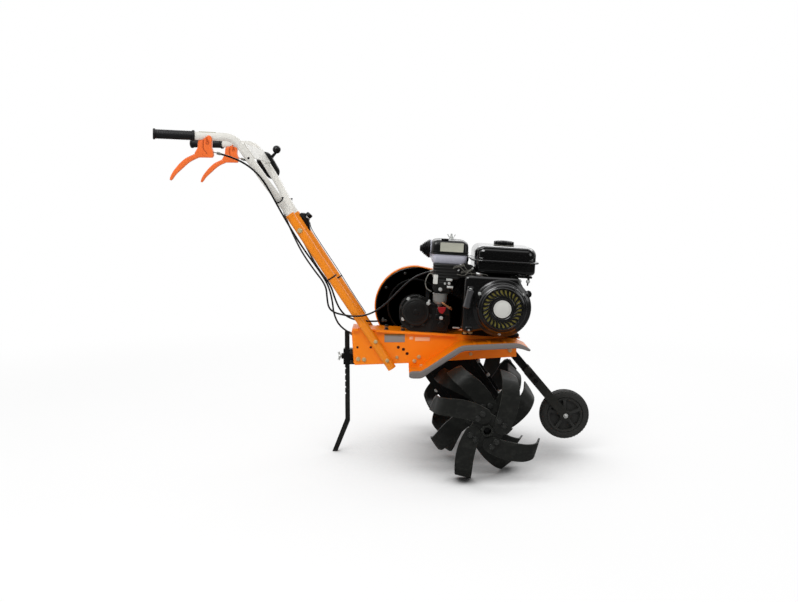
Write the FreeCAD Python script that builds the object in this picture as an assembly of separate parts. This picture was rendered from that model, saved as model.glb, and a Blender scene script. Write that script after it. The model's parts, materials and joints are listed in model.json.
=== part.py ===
import FreeCAD, Part
import math
import os
from FreeCAD import Vector

# Garden tiller: a frame of two steel plates carries a small four-stroke engine, a chain case with
# the tine shaft, a belt guard, fenders and a pair of handle tubes. It rests on its tines and on the
# drag stake behind them, with the transport wheel in front a little off the floor.
#
# Millimetres, +X forward, +Y to the left, +Z up. Pieces are drawn with X = 0 over the tine shaft and
# Z = 0 on the floor, and save() then sets the origin under the middle of the whole length.
# What stands on the deck is drawn in deck axes: x along the sloping deck, z square to it.

# Tines
tine_r = 180.0
tine_half = 400.0
hub_pitch = 114.0
hub_flats = 32.0
hub_proud = 8.0
socket_flats = 23.2
socket_deep = 40.0
shaft_flats = 23.0
journal_r = 15.0
run_clear = 0.05
plate_half = 50.0
plate_thick = 6.0
blade_wide = 55.0
blade_thick = 6.0
blade_bend_r = 45.0
blade_bend = 75.0
blade_reach = 80.0
tip_wide = 52.0
rest_angle = 15.0
shaft_z = tine_r * math.cos(math.radians(rest_angle))

# Frame
frame_half = 46.0
frame_thick = 4.0
frame_back = -427.0
frame_front = 130.0
deck_front = 139.0
deck_back_z = 439.5
deck_front_z = 407.5
plate_low_back = 312.0
plate_low_front = 341.0
plate_hole_r = 4.25
adjust_hole_r = 5.5
lip_wide = 12.0
lip_deep = 8.0
lip_front = -78.0
lip_notch = 30.0
hitch_x = -409.5
hitch_z = 373.0
hitch_pitch = 45.0

# Fenders
fender_out = 205.0
fender_thick = 3.0
fender_line = [(-236.0, 310.0), (-197.0, 310.0), (-66.0, 397.0), (119.0, 406.0), (153.0, 390.0)]
tab_deep = 5.0
edging_thick = 18.0
edging_wide = 9.0

# Chain case
case_half = frame_half - frame_thick
case_low_r = 80.0
case_high_r = 86.0
case_wall = 6.0
case_top = (-108.0, 324.5)
case_flange = 11.0
case_boss_r = 30.0
case_boss_out = 5.0
hub_inner = case_half + case_boss_out + hub_proud

# Belt guard and gear case, in deck axes
input_axle = (-216.0, 67.5)
guard_big_r = 143.0
guard_small_r = 62.0
guard_in = 108.0
guard_wide = 56.0
guard_wall = 2.0
guard_plate_thick = 3.0
guard_rim = 3.0
gear_near = -44.0
gear_r = 56.0
gear_front = -112.0
gear_high = 87.5
dome_r = 47.0
dome_proud = 12.0

# Engine, in deck axes
crank = (61.5, 108.5)
engine_foot = 15.5
engine_half = 58.0
engine_back = -40.0
engine_front = 133.0
block_near = -62.0
block_far = 80.0
block_top = 173.5
block_front = 128.0
cylinder_lean = 25.0
cylinder_half = 44.0
head_start = 120.0
head_end = 190.0
cover_end = 205.0
shaft_r = 12.5
shroud_r = 97.0
shroud_near = -150.0
shroud_top = 208.5
shroud_back = -66.0
recoil_r = 94.0
recoil_proud = 34.0
shroud_wall = 3.0
tank_x = (-33.0, 170.0)
tank_y = (-115.0, 105.0)
tank_z = (214.5, 306.5)
tank_seam = 257.5
tank_lip = 9.0
tank_corner_r = 34.0
tank_top_r = 26.0
tank_low_r = 14.0
tank_wall = 2.0
cap_place = (70.0, 0.0)
cap_r = 34.0
cap_high = 16.0
filter_x = (-176.0, -56.0)
filter_y = (-85.0, 35.0)
filter_z = (238.5, 271.5, 318.5)
breather_z = 282.5
breather_r = 30.5
breather_tip_r = 8.0
breather_long = 34.0
carb_x = (-160.0, -110.0)
carb_y = (-115.0, -65.0)
carb_z = (95.5, 139.5, 188.5)
muffler_x = (-168.0, -50.0)
muffler_y = (42.0, 122.0)
muffler_z = (231.5, 303.5)

# Handle
upper_r = 12.7
tube_wall = 1.8
slip_clear = 0.1
lower_r = upper_r + slip_clear + tube_wall
handle_half = frame_half + lower_r + 0.2
handle_foot = (-292.0, 303.0)
handle_kink = (-377.0, 434.0)
handle_joint = (-629.0, 822.0, 82.0)
spigot = 70.0
flare_start = 26.0
flare_high = (-700.0, 935.0, 160.0)
bar_bend = (-785.0, 1066.0, 204.0)
bar_end = (-1021.0, 1073.5, 264.0)
grip_long = 121.0
grip_wall = 2.0
grip_flange = 2.3
grip_cap = 4.0
grip_r = upper_r + grip_wall
grip_flange_r = grip_r + grip_flange
lever_back = 154.0
lever_half = 23.0
lever_thick = 14.0
saddle_wall = 3.3
saddle_high = 4.0
cheek_low = 70.0
throttle_up = 62.0

# Transport wheel and its arm
arm_pivot = (108.0, 364.0)
wheel_centre = (304.0, 132.6)
wheel_r = 85.0
wheel_half = 25.0
rim_r = 61.0
wheel_bolt_r = 6.0
fork_gap = 5.0
fork_in = wheel_half + fork_gap
fork_thick = 5.0
fork_out = fork_in + fork_thick
fork_wide = 30.0
pivot_r = 5.0
pivot_head = 17.0
pivot_tube_r = 13.0
pivot_side_gap = 3.0

# Drag stake
stake_x = -447.0
stake_wide = 16.0
stake_half = 5.0
stake_top = 422.0
stake_bend_z = 112.0
stake_foot_x = -492.0
bracket_z = (309.0, 362.0)
bracket_half = 16.0
bracket_wall = 4.5

# Control cables: points of each route, from the lever's end to the machine's
cable_r = 3.0
ferrule_r = 4.5
ferrule_long = 12.0
wire_r = 1.5
clutch_right_route = [(-826, -223, 1014), (-796, -217, 1006), (-750, -203, 984), (-710, -187, 948),
                      (-684, -157, 900), (-662, -112, 846), (-630, -90, 784), (-586, -82, 710),
                      (-535, -76, 638), (-503.5, -73, 586), (-492, -62, 532), (-489, -46, 484),
                      (-468, -27, 438), (-437.5, -22, 420)]
clutch_left_route = [(-826, 219, 1013), (-796, 206, 1003), (-764, 182, 974), (-731, 155, 935),
                     (-696, 122, 885), (-663, 90, 835), (-626, 62, 776), (-587, 24, 712),
                     (-548, -28, 648), (-497.5, -68, 590), (-484, -58, 540), (-468, -42, 500),
                     (-444, -23, 473), (-407, 9, 457), (-367, 43, 450), (-345, 68, 447),
                     (-328, 92, 445)]
throttle_route = [(-690, 160, 905), (-682, 124, 862), (-668, 92, 818), (-636, 58, 752),
                  (-600, 16, 690), (-556, -32, 636), (-512, -78, 588), (-508.5, -82, 545),
                  (-504, -84, 514), (-487, -86, 498), (-458, -87, 490), (-424, -87, 484.5),
                  (-388, -88, 486), (-352, -90, 499), (-318, -91, 522), (-288, -91, 551),
                  (-258, -91, 583), (-224, -91, 612), (-196, -90, 626), (-166, -91, 635)]

bar_cosine = (bar_bend[0] - bar_end[0]) / math.dist(bar_bend, bar_end)
rear_end = bar_end[0] - grip_cap * bar_cosine - grip_flange_r * math.sqrt(1 - bar_cosine ** 2)
length_middle = (wheel_centre[0] + wheel_r + rear_end) / 2
deck_slope = math.atan2(deck_back_z - deck_front_z, frame_front - frame_back)
deck_z = deck_front_z + frame_front * math.tan(deck_slope)
along_y = Vector(0, 1, 0)


def save(node, shape):
    moved = shape.copy()
    moved.translate(Vector(-length_middle, 0, 0))
    moved.exportStep("parts/" + node + ".step")
    box = moved.BoundBox
    print(f"{node:24s} solids {len(moved.Solids)} valid {moved.isValid()} x {box.XMin:8.1f} {box.XMax:8.1f}"
          f" y {box.YMin:7.1f} {box.YMax:7.1f} z {box.ZMin:7.1f} {box.ZMax:7.1f}")


def save_pair(node, make):
    for name, side in (("right", -1), ("left", 1)):
        save(node + "_" + name, make(side))


def block(x, y, z):
    return Part.makeBox(x[1] - x[0], y[1] - y[0], z[1] - z[0], Vector(x[0], y[0], z[0]))


def rod(start, end, r):
    return Part.makeCylinder(r, (end - start).Length, start, end - start)


def round_y(centre, r, y0, y1):
    """A cylinder along Y about a point of the XZ plane."""
    return Part.makeCylinder(r, abs(y1 - y0), Vector(centre[0], min(y0, y1), centre[1]), along_y)


def sheet_y(points, y0, y1):
    """A polygon of the XZ plane carried along Y."""
    corners = [Vector(x, y0, z) for x, z in points]
    face = Part.Face(Part.makePolygon(corners + corners[:1]))
    return face.extrude(Vector(0, y1 - y0, 0))


def hexagon_y(centre, flats, y0, y1):
    corner = flats / 2 / math.cos(math.radians(30))
    turns = [math.radians(60 * k) for k in range(6)]
    points = [(centre[0] + corner * math.cos(t), centre[1] + corner * math.sin(t)) for t in turns]
    return sheet_y(points, y0, y1)


def hull_y(centre1, r1, centre2, r2, y0, y1):
    """Two cylinders along Y and the wedge between their common tangents."""
    across = math.atan2(centre2[1] - centre1[1], centre2[0] - centre1[0])
    gap = math.hypot(centre2[0] - centre1[0], centre2[1] - centre1[1])
    tilt = math.acos((r1 - r2) / gap)
    corners = []
    for centre, r, side in ((centre1, r1, 1), (centre2, r2, 1), (centre2, r2, -1), (centre1, r1, -1)):
        turn = across + side * tilt
        corners.append((centre[0] + r * math.cos(turn), centre[1] + r * math.sin(turn)))
    wedge = sheet_y(corners, y0, y1)
    ends = [round_y(centre1, r1, y0, y1), round_y(centre2, r2, y0, y1)]
    return wedge.fuse(ends).removeSplitter()


def bent_strip(points, thick, y0, y1):
    """A strip of even thickness on a line of points in the XZ plane, mitred at its bends."""
    sides = ([], [])
    for k, (x, z) in enumerate(points):
        before = points[max(k - 1, 0)]
        after = points[min(k + 1, len(points) - 1)]
        turn_in = math.atan2(z - before[1], x - before[0]) if k else None
        turn_out = math.atan2(after[1] - z, after[0] - x) if k < len(points) - 1 else turn_in
        turn_in = turn_out if turn_in is None else turn_in
        normal = (turn_in + turn_out) / 2 + math.pi / 2
        reach = thick / 2 / math.cos((turn_out - turn_in) / 2)
        for side, sign in zip(sides, (1, -1)):
            side.append((x + sign * reach * math.cos(normal), z + sign * reach * math.sin(normal)))
    return sheet_y(sides[0] + sides[1][::-1], y0, y1)


def fillet_where(shape, r, choose):
    return shape.makeFillet(r, [edge for edge in shape.Edges if choose(edge)])


def runs_along(edge, axis):
    if not isinstance(edge.Curve, Part.Line):
        return False
    return abs(edge.tangentAt(edge.FirstParameter).dot(axis)) > 0.999


def rounded_block(x, y, z, r, axis):
    return fillet_where(block(x, y, z), r, lambda edge: runs_along(edge, axis))


def on_deck(shape):
    """Turns a piece from deck axes to its place on the sloping deck."""
    placed = shape.copy()
    placed.rotate(Vector(0, 0, 0), along_y, math.degrees(deck_slope))
    placed.translate(Vector(0, 0, deck_z))
    return placed


def path_of(points, radii):
    """Straight runs joined by tangent arcs."""
    edges = []
    at = points[0]
    for k in range(1, len(points) - 1):
        into = (points[k] - points[k - 1]).normalize()
        out = (points[k + 1] - points[k]).normalize()
        turn = into.getAngle(out)
        back = radii[k - 1] * math.tan(turn / 2)
        start = points[k] - into * back
        end = points[k] + out * back
        inward = (out - into).normalize()
        middle = points[k] + inward * (radii[k - 1] / math.cos(turn / 2) - radii[k - 1])
        edges.append(Part.LineSegment(at, start).toShape())
        edges.append(Part.Arc(start, middle, end).toShape())
        at = end
    edges.append(Part.LineSegment(at, points[-1]).toShape())
    return Part.Wire(edges)


def pipe(points, radii, r):
    circle = Part.Wire(Part.makeCircle(r, points[0], points[1] - points[0]))
    return path_of(points, radii).makePipeShell([circle], True, False)


# Tines -----------------------------------------------------------------------------------------

def tip_span():
    return math.degrees(math.asin(tip_wide / tine_r))


def blade():
    """One hooked blade of the right side, its leading corner on the +X axis.

    It is a strip bent inward at its outer end, trimmed to the curved outline and the tip circle."""
    lead = blade_wide * 0.3
    trail = lead + blade_wide
    span = math.radians(tip_span())
    tip = (tine_r * math.cos(span), -tine_r * math.sin(span))
    corners = [Vector(x, 0, z) for x, z in ((30, -lead), (0.6 * tine_r, -lead + 2), (tine_r, 0),
                                            (1.1 * tine_r, 0), (1.1 * tip[0], 1.1 * tip[1]), tip,
                                            (0.54 * tine_r, -trail - 1), (22, -trail + 6), (0, -lead - 31))]
    outline = Part.Wire([Part.Arc(corners[0], corners[1], corners[2]).toShape(),
                         Part.LineSegment(corners[2], corners[3]).toShape(),
                         Part.LineSegment(corners[3], corners[4]).toShape(),
                         Part.LineSegment(corners[4], corners[5]).toShape(),
                         Part.Arc(corners[5], corners[6], corners[7]).toShape(),
                         Part.Arc(corners[7], corners[8], corners[0]).toShape()])
    prism = Part.Face(outline).extrude(Vector(0, blade_reach + blade_thick, 0))
    bend = math.radians(blade_bend)
    outer_r = blade_bend_r + blade_thick
    leg = (blade_reach - outer_r * (1 - math.cos(bend))) / math.sin(bend)
    bend_x = tine_r - outer_r * math.sin(bend) - leg * math.cos(bend)
    leg *= 1.3

    def arc_point(r, turn):
        return Vector(bend_x + r * math.sin(turn), outer_r - r * math.cos(turn), 0)

    down = Vector(math.cos(bend), math.sin(bend), 0) * leg
    outer = [arc_point(outer_r, t * bend) for t in (0, 0.5, 1)]
    inner = [arc_point(blade_bend_r, t * bend) for t in (0, 0.5, 1)]
    start = [Vector(-20, 0, 0), Vector(-20, blade_thick, 0)]
    side = Part.Wire([Part.LineSegment(start[0], outer[0]).toShape(),
                      Part.Arc(outer[0], outer[1], outer[2]).toShape(),
                      Part.LineSegment(outer[2], outer[2] + down).toShape(),
                      Part.LineSegment(outer[2] + down, inner[2] + down).toShape(),
                      Part.LineSegment(inner[2] + down, inner[2]).toShape(),
                      Part.Arc(inner[2], inner[1], inner[0]).toShape(),
                      Part.LineSegment(inner[0], start[1]).toShape(),
                      Part.LineSegment(start[1], start[0]).toShape()])
    strip = Part.Face(side).extrude(Vector(0, 0, 2 * tine_r))
    strip.translate(Vector(0, 0, -tine_r))
    disc = round_y((0, 0), tine_r, -1, blade_reach + 2 * blade_thick)
    return strip.common(prism).common(disc)


def tine_group(place, inner_end, lead_angle):
    """Four blades bolted to a square plate on a hexagon tube; place is its plate's |Y|."""
    tube = hexagon_y((0, 0), hub_flats, -place - hub_proud, -inner_end)
    plate_y = -place + blade_thick
    plate = block((-plate_half, plate_half), (plate_y, plate_y + plate_thick), (-plate_half, plate_half))
    plate = fillet_where(plate, 18, lambda edge: runs_along(edge, along_y))
    plate.rotate(Vector(0, 0, 0), along_y, 60 - 45)
    group = tube.fuse(plate)
    for k in range(4):
        piece = blade()
        piece.translate(Vector(0, -place, 0))
        piece.rotate(Vector(0, 0, 0), along_y, 90 * k)
        group = group.fuse(piece)
    group.rotate(Vector(0, 0, 0), along_y, -lead_angle)
    group = group.cut(hexagon_y((0, 0), socket_flats, -place - hub_proud - 1, -inner_end + 1))
    group.translate(Vector(0, 0, shaft_z))
    return group.removeSplitter()


def tines():
    first = tine_half - hub_proud
    lead_rest = -90 - rest_angle
    trail_rest = -180 + rest_angle + tip_span()
    turns = {-1: (lead_rest, -141, -123), 1: (trail_rest, -112, -130)}
    for name, side in (("right", -1), ("left", 1)):
        for k in range(3):
            place = first - k * hub_pitch
            inner_end = place + hub_proud - hub_pitch if k < 2 else hub_inner
            group = tine_group(place, inner_end, turns[side][k])
            if side > 0:
                group = group.mirror(Vector(0, 0, 0), along_y)
            save(f"tine_group_{name}_{k + 1}", group)


def tine_shaft():
    end = tine_half - socket_deep
    shaft = hexagon_y((0, shaft_z), shaft_flats, -end, end)
    journal = round_y((0, shaft_z), journal_r, -hub_inner + 2, hub_inner - 2)
    save("tine_shaft", shaft.fuse(journal).removeSplitter())


def chain_case():
    """Hollow pressed case in two halves, joined at a flange in the middle plane."""
    low = (0, shaft_z)
    body = hull_y(low, case_low_r, case_top, case_high_r, -case_half, case_half)
    inside = hull_y(low, case_low_r - case_wall, case_top, case_high_r - case_wall,
                    -case_half + case_wall, case_half - case_wall)
    rim = hull_y(low, case_low_r + case_flange, case_top, case_high_r + case_flange / 2, -4, 4)
    boss = round_y(low, case_boss_r, -case_half - case_boss_out, case_half + case_boss_out)
    case = body.fuse([rim, boss]).cut(inside)
    case = case.cut(round_y(low, journal_r + run_clear, -hub_inner, hub_inner))
    save("chain_case", case.removeSplitter())


# Frame -----------------------------------------------------------------------------------------

def deck_height(x):
    return deck_z - x * math.tan(deck_slope)


def back_edge(z):
    """The frame's back is square to the sloping deck."""
    return frame_back + (deck_back_z - z) * math.tan(deck_slope)


def side_plate(side):
    """One side of the frame, with a tab under the back of the fender."""
    under = [(x, deck_height(x) - frame_thick) for x in (frame_front, back_edge(deck_back_z - frame_thick))]
    tab_back, tab_front = fender_line[0][0], fender_line[1][0]
    tab_z = fender_line[0][1] - fender_thick / 2 - tab_deep
    low = [(back_edge(plate_low_back), plate_low_back), (tab_back, 319), (tab_back, tab_z),
           (tab_front + 7, tab_z), (tab_front + 30, 322), (-93, 327.5), (frame_front, plate_low_front)]
    near = side * frame_half
    plate = sheet_y(under + low, near, near - side * frame_thick)
    holes = [((hitch_x, hitch_z), plate_hole_r), ((hitch_x + hitch_pitch, hitch_z), plate_hole_r),
             ((-271, 373), adjust_hole_r), ((-253.5, 366), adjust_hole_r), ((-241, 351.5), adjust_hole_r),
             ((-275.5, 338.5), adjust_hole_r), (arm_pivot, pivot_r + run_clear)]
    for hole, r in holes:
        plate = plate.cut(round_y(hole, r, -2 * frame_half, 2 * frame_half))
    return plate


def rear_plate():
    top = deck_back_z - frame_thick - 1
    ends = [(back_edge(z), z) for z in (plate_low_back, top)]
    ahead = [(x + frame_thick, z) for x, z in reversed(ends)]
    return sheet_y(ends + ahead, -case_half, case_half)


def deck():
    """Top plate with a turned-down lip along each side, notched where the handle tubes pass."""
    def strip(x0, x1, y0, y1, deep):
        top = [(x, deck_height(x)) for x in (x0, x1)]
        return sheet_y(top + [(x, z - deep) for x, z in reversed(top)], y0, y1)

    plate = strip(frame_back, deck_front, -frame_half, frame_half, frame_thick)
    notch = handle_kink[0] - lip_notch, handle_kink[0] + lip_notch
    out = frame_half + lip_wide
    for x0, x1 in ((frame_back, notch[0]), (notch[1], lip_front)):
        for side in (-1, 1):
            flat = strip(x0, x1, *sorted((side * frame_half, side * out)), frame_thick)
            lip = strip(x0, x1, *sorted((side * (out - frame_thick), side * out)), lip_deep)
            plate = plate.fuse([flat, lip])
    return plate.removeSplitter()


def frame():
    save_pair("frame_side", side_plate)
    save("frame_deck", deck())
    save("frame_rear_plate", rear_plate())


def fender(side):
    sheet = bent_strip(fender_line, fender_thick, frame_half, fender_out)
    return sheet if side > 0 else sheet.mirror(Vector(0, 0, 0), along_y)


def fender_edging(side):
    strip = bent_strip(fender_line, edging_thick, fender_out - 3, fender_out + edging_wide)
    strip = strip.cut(bent_strip(fender_line, fender_thick, 0, fender_out))
    return strip if side > 0 else strip.mirror(Vector(0, 0, 0), along_y)


# Drive -----------------------------------------------------------------------------------------

def guard_shape(grow, y0, y1):
    """Outline of the belt guard: a large disc, a small one and the straight sides between them."""
    big = guard_big_r + grow
    small = guard_small_r + grow
    drop = big / math.sqrt(2)
    low = [(input_axle[0] + drop, input_axle[1] - drop), (crank[0], crank[1] - small)]
    high = [(crank[0], crank[1] + small), (input_axle[0], input_axle[1] + big)]
    web = sheet_y(low + high, y0, y1)
    return web.fuse([round_y(input_axle, big, y0, y1), round_y(crank, small, y0, y1)]).removeSplitter()


def guard_plate():
    plate = guard_shape(-guard_rim, guard_in, guard_in + guard_plate_thick)
    return plate.cut(round_y(crank, shaft_r + 3, guard_in - 1, guard_in + guard_wide))


def belt_drive():
    far = guard_in + guard_wide
    shell = guard_shape(0, guard_in, far)
    shell = shell.cut(guard_shape(-guard_wall, guard_in - 1, far - guard_wall))
    save("belt_guard", on_deck(shell))
    save("belt_guard_plate", on_deck(guard_plate()))


def gear_case():
    body = round_y((input_axle[0], gear_r), gear_r, gear_near, guard_in)
    body = body.fuse(block((input_axle[0], gear_front), (gear_near, guard_in), (0, gear_high)))
    dome = round_y(input_axle, dome_r, gear_near - dome_proud, gear_near)
    dome = dome.makeFillet(dome_proud / 2, [dome.Edges[k] for k in range(len(dome.Edges))
                                            if dome.Edges[k].BoundBox.YMax < gear_near - dome_proud + 0.1])
    save("gear_case", on_deck(body.fuse(dome).removeSplitter()))


# Engine ----------------------------------------------------------------------------------------

def leaning(start, end, half, y0, y1):
    """A box on the leaning cylinder's axis, from start to end along it."""
    shape = block((start, end), (y0, y1), (-half, half))
    shape.rotate(Vector(0, 0, 0), along_y, -(180 - cylinder_lean))
    shape.translate(Vector(crank[0], 0, crank[1]))
    return shape


def engine():
    base = block((engine_back, engine_front), (-engine_half, engine_half), (0, engine_foot))
    save("engine_base", on_deck(base))

    case = block((engine_back + 5, block_front), (block_near, block_far), (engine_foot, block_top))
    case = fillet_where(case, 25, lambda edge: runs_along(edge, along_y))
    barrel = leaning(40, head_start, cylinder_half, -45, 60)
    pillar = block((0, 110), (-50, 55), (block_top - 30, tank_z[0]))
    stub = round_y(crank, shaft_r, block_far, guard_in + guard_wide / 2)
    save("engine_block", on_deck(case.fuse([barrel, pillar, stub]).removeSplitter()))

    head = leaning(head_start, head_end, cylinder_half, -45, 60)
    port = block((-135, -100), (carb_y[1], -44), (143, 181))
    exhaust = block((-100, -75), (59, 75), (168, muffler_z[0]))
    cover = leaning(head_end, cover_end, cylinder_half - 8, -35, 50)
    save("cylinder_head", on_deck(head.fuse([port, cover, exhaust]).removeSplitter()))

    lobe = round_y(crank, shroud_r, shroud_near, block_near)
    slope = [(crank[0], shroud_top), (crank[0] + 46, shroud_top), (crank[0] + 84, crank[1] + 44),
             (crank[0], crank[1] - 40), (shroud_back, 20), (shroud_back, shroud_top)]
    shroud = lobe.fuse(sheet_y(slope, shroud_near, block_near)).removeSplitter()
    fan_room = round_y(crank, shroud_r - shroud_wall, shroud_near + shroud_wall, block_near - shroud_wall)
    save("fan_shroud", on_deck(shroud.cut(fan_room)))

    near = shroud_near - recoil_proud
    recoil = round_y(crank, recoil_r, near, shroud_near)
    recoil = fillet_where(recoil, 12, lambda edge: edge.BoundBox.YMax < near + 0.1)
    spring_room = round_y(crank, recoil_r - 12, near + shroud_wall, shroud_near)
    save("recoil_starter", on_deck(recoil.cut(spring_room)))
    pull = rounded_block((-66, -43), (shroud_near - 26, shroud_near), (103, 163), 8, Vector(0, 0, 1))
    save("starter_handle", on_deck(pull))


def tank_shape(inset):
    """The tank's rounded body, drawn in by a wall for the room inside it."""
    x, y, z = [(low + inset, high - inset) for low, high in (tank_x, tank_y, tank_z)]
    body = rounded_block(x, y, z, tank_corner_r - inset, Vector(0, 0, 1))
    body = fillet_where(body, tank_top_r - inset, lambda edge: edge.BoundBox.ZMin > z[1] - 0.1)
    return fillet_where(body, tank_low_r - inset, lambda edge: edge.BoundBox.ZMax < z[0] + 0.1)


def fuel_tank():
    grown = [(low - tank_lip, high + tank_lip) for low, high in (tank_x, tank_y)]
    lip = rounded_block(grown[0], grown[1], (tank_seam - 2, tank_seam + 2), tank_corner_r + tank_lip,
                        Vector(0, 0, 1))
    tank = tank_shape(0).fuse(lip).removeSplitter()
    save("fuel_tank", on_deck(tank.cut(tank_shape(tank_wall))))
    foot = Vector(cap_place[0], cap_place[1], tank_z[1])
    save("fuel_cap", on_deck(rod(foot, foot + Vector(0, 0, cap_high), cap_r)))


def intake_duct():
    return rounded_block((carb_x[0] - 6, carb_x[1] + 12), (carb_y[0] + 4, carb_y[1] + 15),
                         (carb_z[2], filter_z[0]), 8, Vector(0, 0, 1))


def intake_and_exhaust():
    up = Vector(0, 0, 1)
    base = rounded_block(filter_x, filter_y, filter_z[:2], 14, up)
    save("air_cleaner_base", on_deck(base))
    cover = rounded_block((filter_x[0] - 2, filter_x[1] + 2), (filter_y[0] - 2, filter_y[1] + 2),
                          filter_z[1:], 16, up)
    cover = fillet_where(cover, 9, lambda edge: edge.BoundBox.ZMin > filter_z[2] - 0.1)
    middle = Vector(filter_x[0] - 2, (filter_y[0] + filter_y[1]) / 2, breather_z)
    breather = Part.makeCone(breather_r, breather_tip_r, breather_long, middle, Vector(-1, 0, 0))
    save("air_cleaner_cover", on_deck(cover.fuse(breather).removeSplitter()))

    middle = Vector((carb_x[0] + carb_x[1]) / 2, (carb_y[0] + carb_y[1]) / 2, 0)
    bowl = rod(middle + up * carb_z[0], middle + up * carb_z[1], 21)
    body = block(carb_x, carb_y, carb_z[1:])
    save("carburettor", on_deck(bowl.fuse(body).removeSplitter()))
    save("intake_duct", on_deck(intake_duct()))

    can = rounded_block(muffler_x, muffler_y, muffler_z, 20, Vector(1, 0, 0))
    inner = [(low + 3, high - 3) for low, high in (muffler_x, muffler_y, muffler_z)]
    save("muffler", on_deck(can.cut(rounded_block(*inner, 17, Vector(1, 0, 0)))))


# Handle ----------------------------------------------------------------------------------------

def unit(start, end):
    return (end - start).normalize()


def lower_points(side):
    places = [(*handle_foot, handle_half), (*handle_kink, handle_half), handle_joint]
    return [Vector(x, side * y, z) for x, z, y in places]


def upper_points(side):
    kink, joint = lower_points(side)[1:]
    up = unit(kink, joint)
    spread = [Vector(x, side * y, z) for x, z, y in (flare_high, bar_bend, bar_end)]
    return [joint - up * spigot, joint + up * flare_start] + spread


def tube_along(points, radii, outer_r, bore_r):
    first = points[0] - unit(points[0], points[1])
    last = points[-1] + unit(points[-2], points[-1])
    inside = pipe([first] + points[1:-1] + [last], radii, bore_r)
    return pipe(points, radii, outer_r).cut(inside)


def lower_tube(side):
    return tube_along(lower_points(side), [400], lower_r, upper_r + slip_clear)


def upper_tube(side):
    return tube_along(upper_points(side), [60, 120, 60], upper_r, upper_r - tube_wall)


def bar_point(side, back):
    """A point on the bar's axis, a distance ahead of its rear end."""
    points = upper_points(side)
    return points[-1] - unit(points[-2], points[-1]) * back


def grip(side):
    end = bar_point(side, 0)
    front = bar_point(side, grip_long)
    back = unit(front, end)
    cap_end = end + back * grip_cap
    body = rod(front, cap_end, grip_r)
    flanges = [rod(front, front + back * 8, grip_flange_r), rod(cap_end - back * 8, cap_end, grip_flange_r)]
    return body.fuse(flanges).cut(rod(front - back, end, upper_r + run_clear))


def lever_bracket(side):
    """Saddle under the bar, up to its sides, with a hanging cheek that carries the lever's pin."""
    centre = bar_point(side, lever_back)
    x = (centre.x - lever_half, centre.x + lever_half)
    cheek_half = lever_thick / 2 + 3
    cheek = block(x, (centre.y - cheek_half, centre.y + cheek_half), (centre.z - cheek_low, centre.z))
    cheek = fillet_where(cheek, 8, lambda edge: runs_along(edge, along_y)
                         and edge.BoundBox.ZMax < centre.z - cheek_low / 2)
    reach = [bar_point(side, lever_back + step * 2 * lever_half) for step in (1, -1)]
    around = upper_r + saddle_wall
    saddle = block(x, (centre.y - 2 * around, centre.y + 2 * around),
                   (centre.z - 2 * around, centre.z + saddle_high)).common(rod(*reach, around))
    return cheek.fuse(saddle).cut(rod(*reach, upper_r + run_clear)).removeSplitter()


def clutch_lever(side):
    """Curved blade from the bracket down and back, between two arcs."""
    centre = bar_point(side, lever_back)

    def at(dx, dz):
        return Vector(centre.x - lever_half + dx, 0, centre.z + dz)

    tip, upper, root_top = at(-92, -131), at(-61, -86), at(0, -45)
    root_low, lower, tip_low = at(0, -69), at(-41, -92), at(-84, -135)
    outline = Part.Wire([Part.Arc(tip, upper, root_top).toShape(),
                         Part.LineSegment(root_top, root_low).toShape(),
                         Part.Arc(root_low, lower, tip_low).toShape(),
                         Part.LineSegment(tip_low, tip).toShape()])
    lever = Part.Face(outline).extrude(Vector(0, lever_thick, 0))
    lever.translate(Vector(0, centre.y - lever_thick / 2, 0))
    return lever


def handle_plate():
    """Flat stiffener across the fronts of the two upper tubes, just under their bends."""
    low, high = upper_points(1)[2], upper_points(1)[3]
    ahead = Vector(high.z - low.z, 0, low.x - high.x).normalize()
    corners = []
    for share in (0.45, 0.8):
        place = low + (high - low) * share + ahead * (upper_r + 0.2)
        corners.append((Vector(place.x, -place.y, place.z), place))
    ring = [corners[0][0], corners[1][0], corners[1][1], corners[0][1]]
    return Part.Face(Part.makePolygon(ring + ring[:1])).extrude(ahead * 2.5)


def throttle_middle():
    low, high = upper_points(1)[2], upper_points(1)[3]
    return low + unit(low, high) * throttle_up, unit(low, high)


def throttle_exit():
    """Where the throttle cable leaves the case, and in which direction."""
    middle, along = throttle_middle()
    low_end = middle - along * 26
    centre = Vector(low_end.x, middle.y + upper_r + 8, low_end.z)
    out = unit(centre, Vector(*throttle_route[0]))
    return centre + out * 34, out


def throttle():
    """Round-ended case clamped beside the left tube, with its lever, ball and cable outlet."""
    middle, along = throttle_middle()
    out = middle.y + upper_r + 1
    ends = [(middle + along * shift) for shift in (-26, 26)]
    case = hull_y((ends[0].x, ends[0].z), 25, (ends[1].x, ends[1].z), 28, out, out + 16)
    clamp = rod(middle - along * 8, middle + along * 8, upper_r + 4)
    foot = Vector(middle.x, out + 20, middle.z + 6)
    ball = foot + Vector(32, 0, 58)
    lever = rod(foot - along_y * 4, foot + along_y * 4, 10)
    lever = lever.fuse([rod(foot, ball, 4), Part.makeSphere(13, ball)])
    place, direction = throttle_exit()
    outlet = rod(place - direction * 14, place, ferrule_r)
    bore = rod(middle - along * 60, middle + along * 60, upper_r + run_clear)
    return case.fuse([clamp, lever, outlet]).cut(bore)


def stop_switch():
    kink, joint = lower_points(1)[1:]
    up = unit(kink, joint)
    ahead = Vector(up.z, 0, -up.x).normalize()
    centre = joint - up * 34 + ahead * (lower_r + 13.2)
    box = block((-13, 13), (-14, 14), (-20, 20))
    box.rotate(Vector(0, 0, 0), along_y, -math.degrees(math.atan2(-up.x, up.z)))
    box.translate(centre)
    return box


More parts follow.
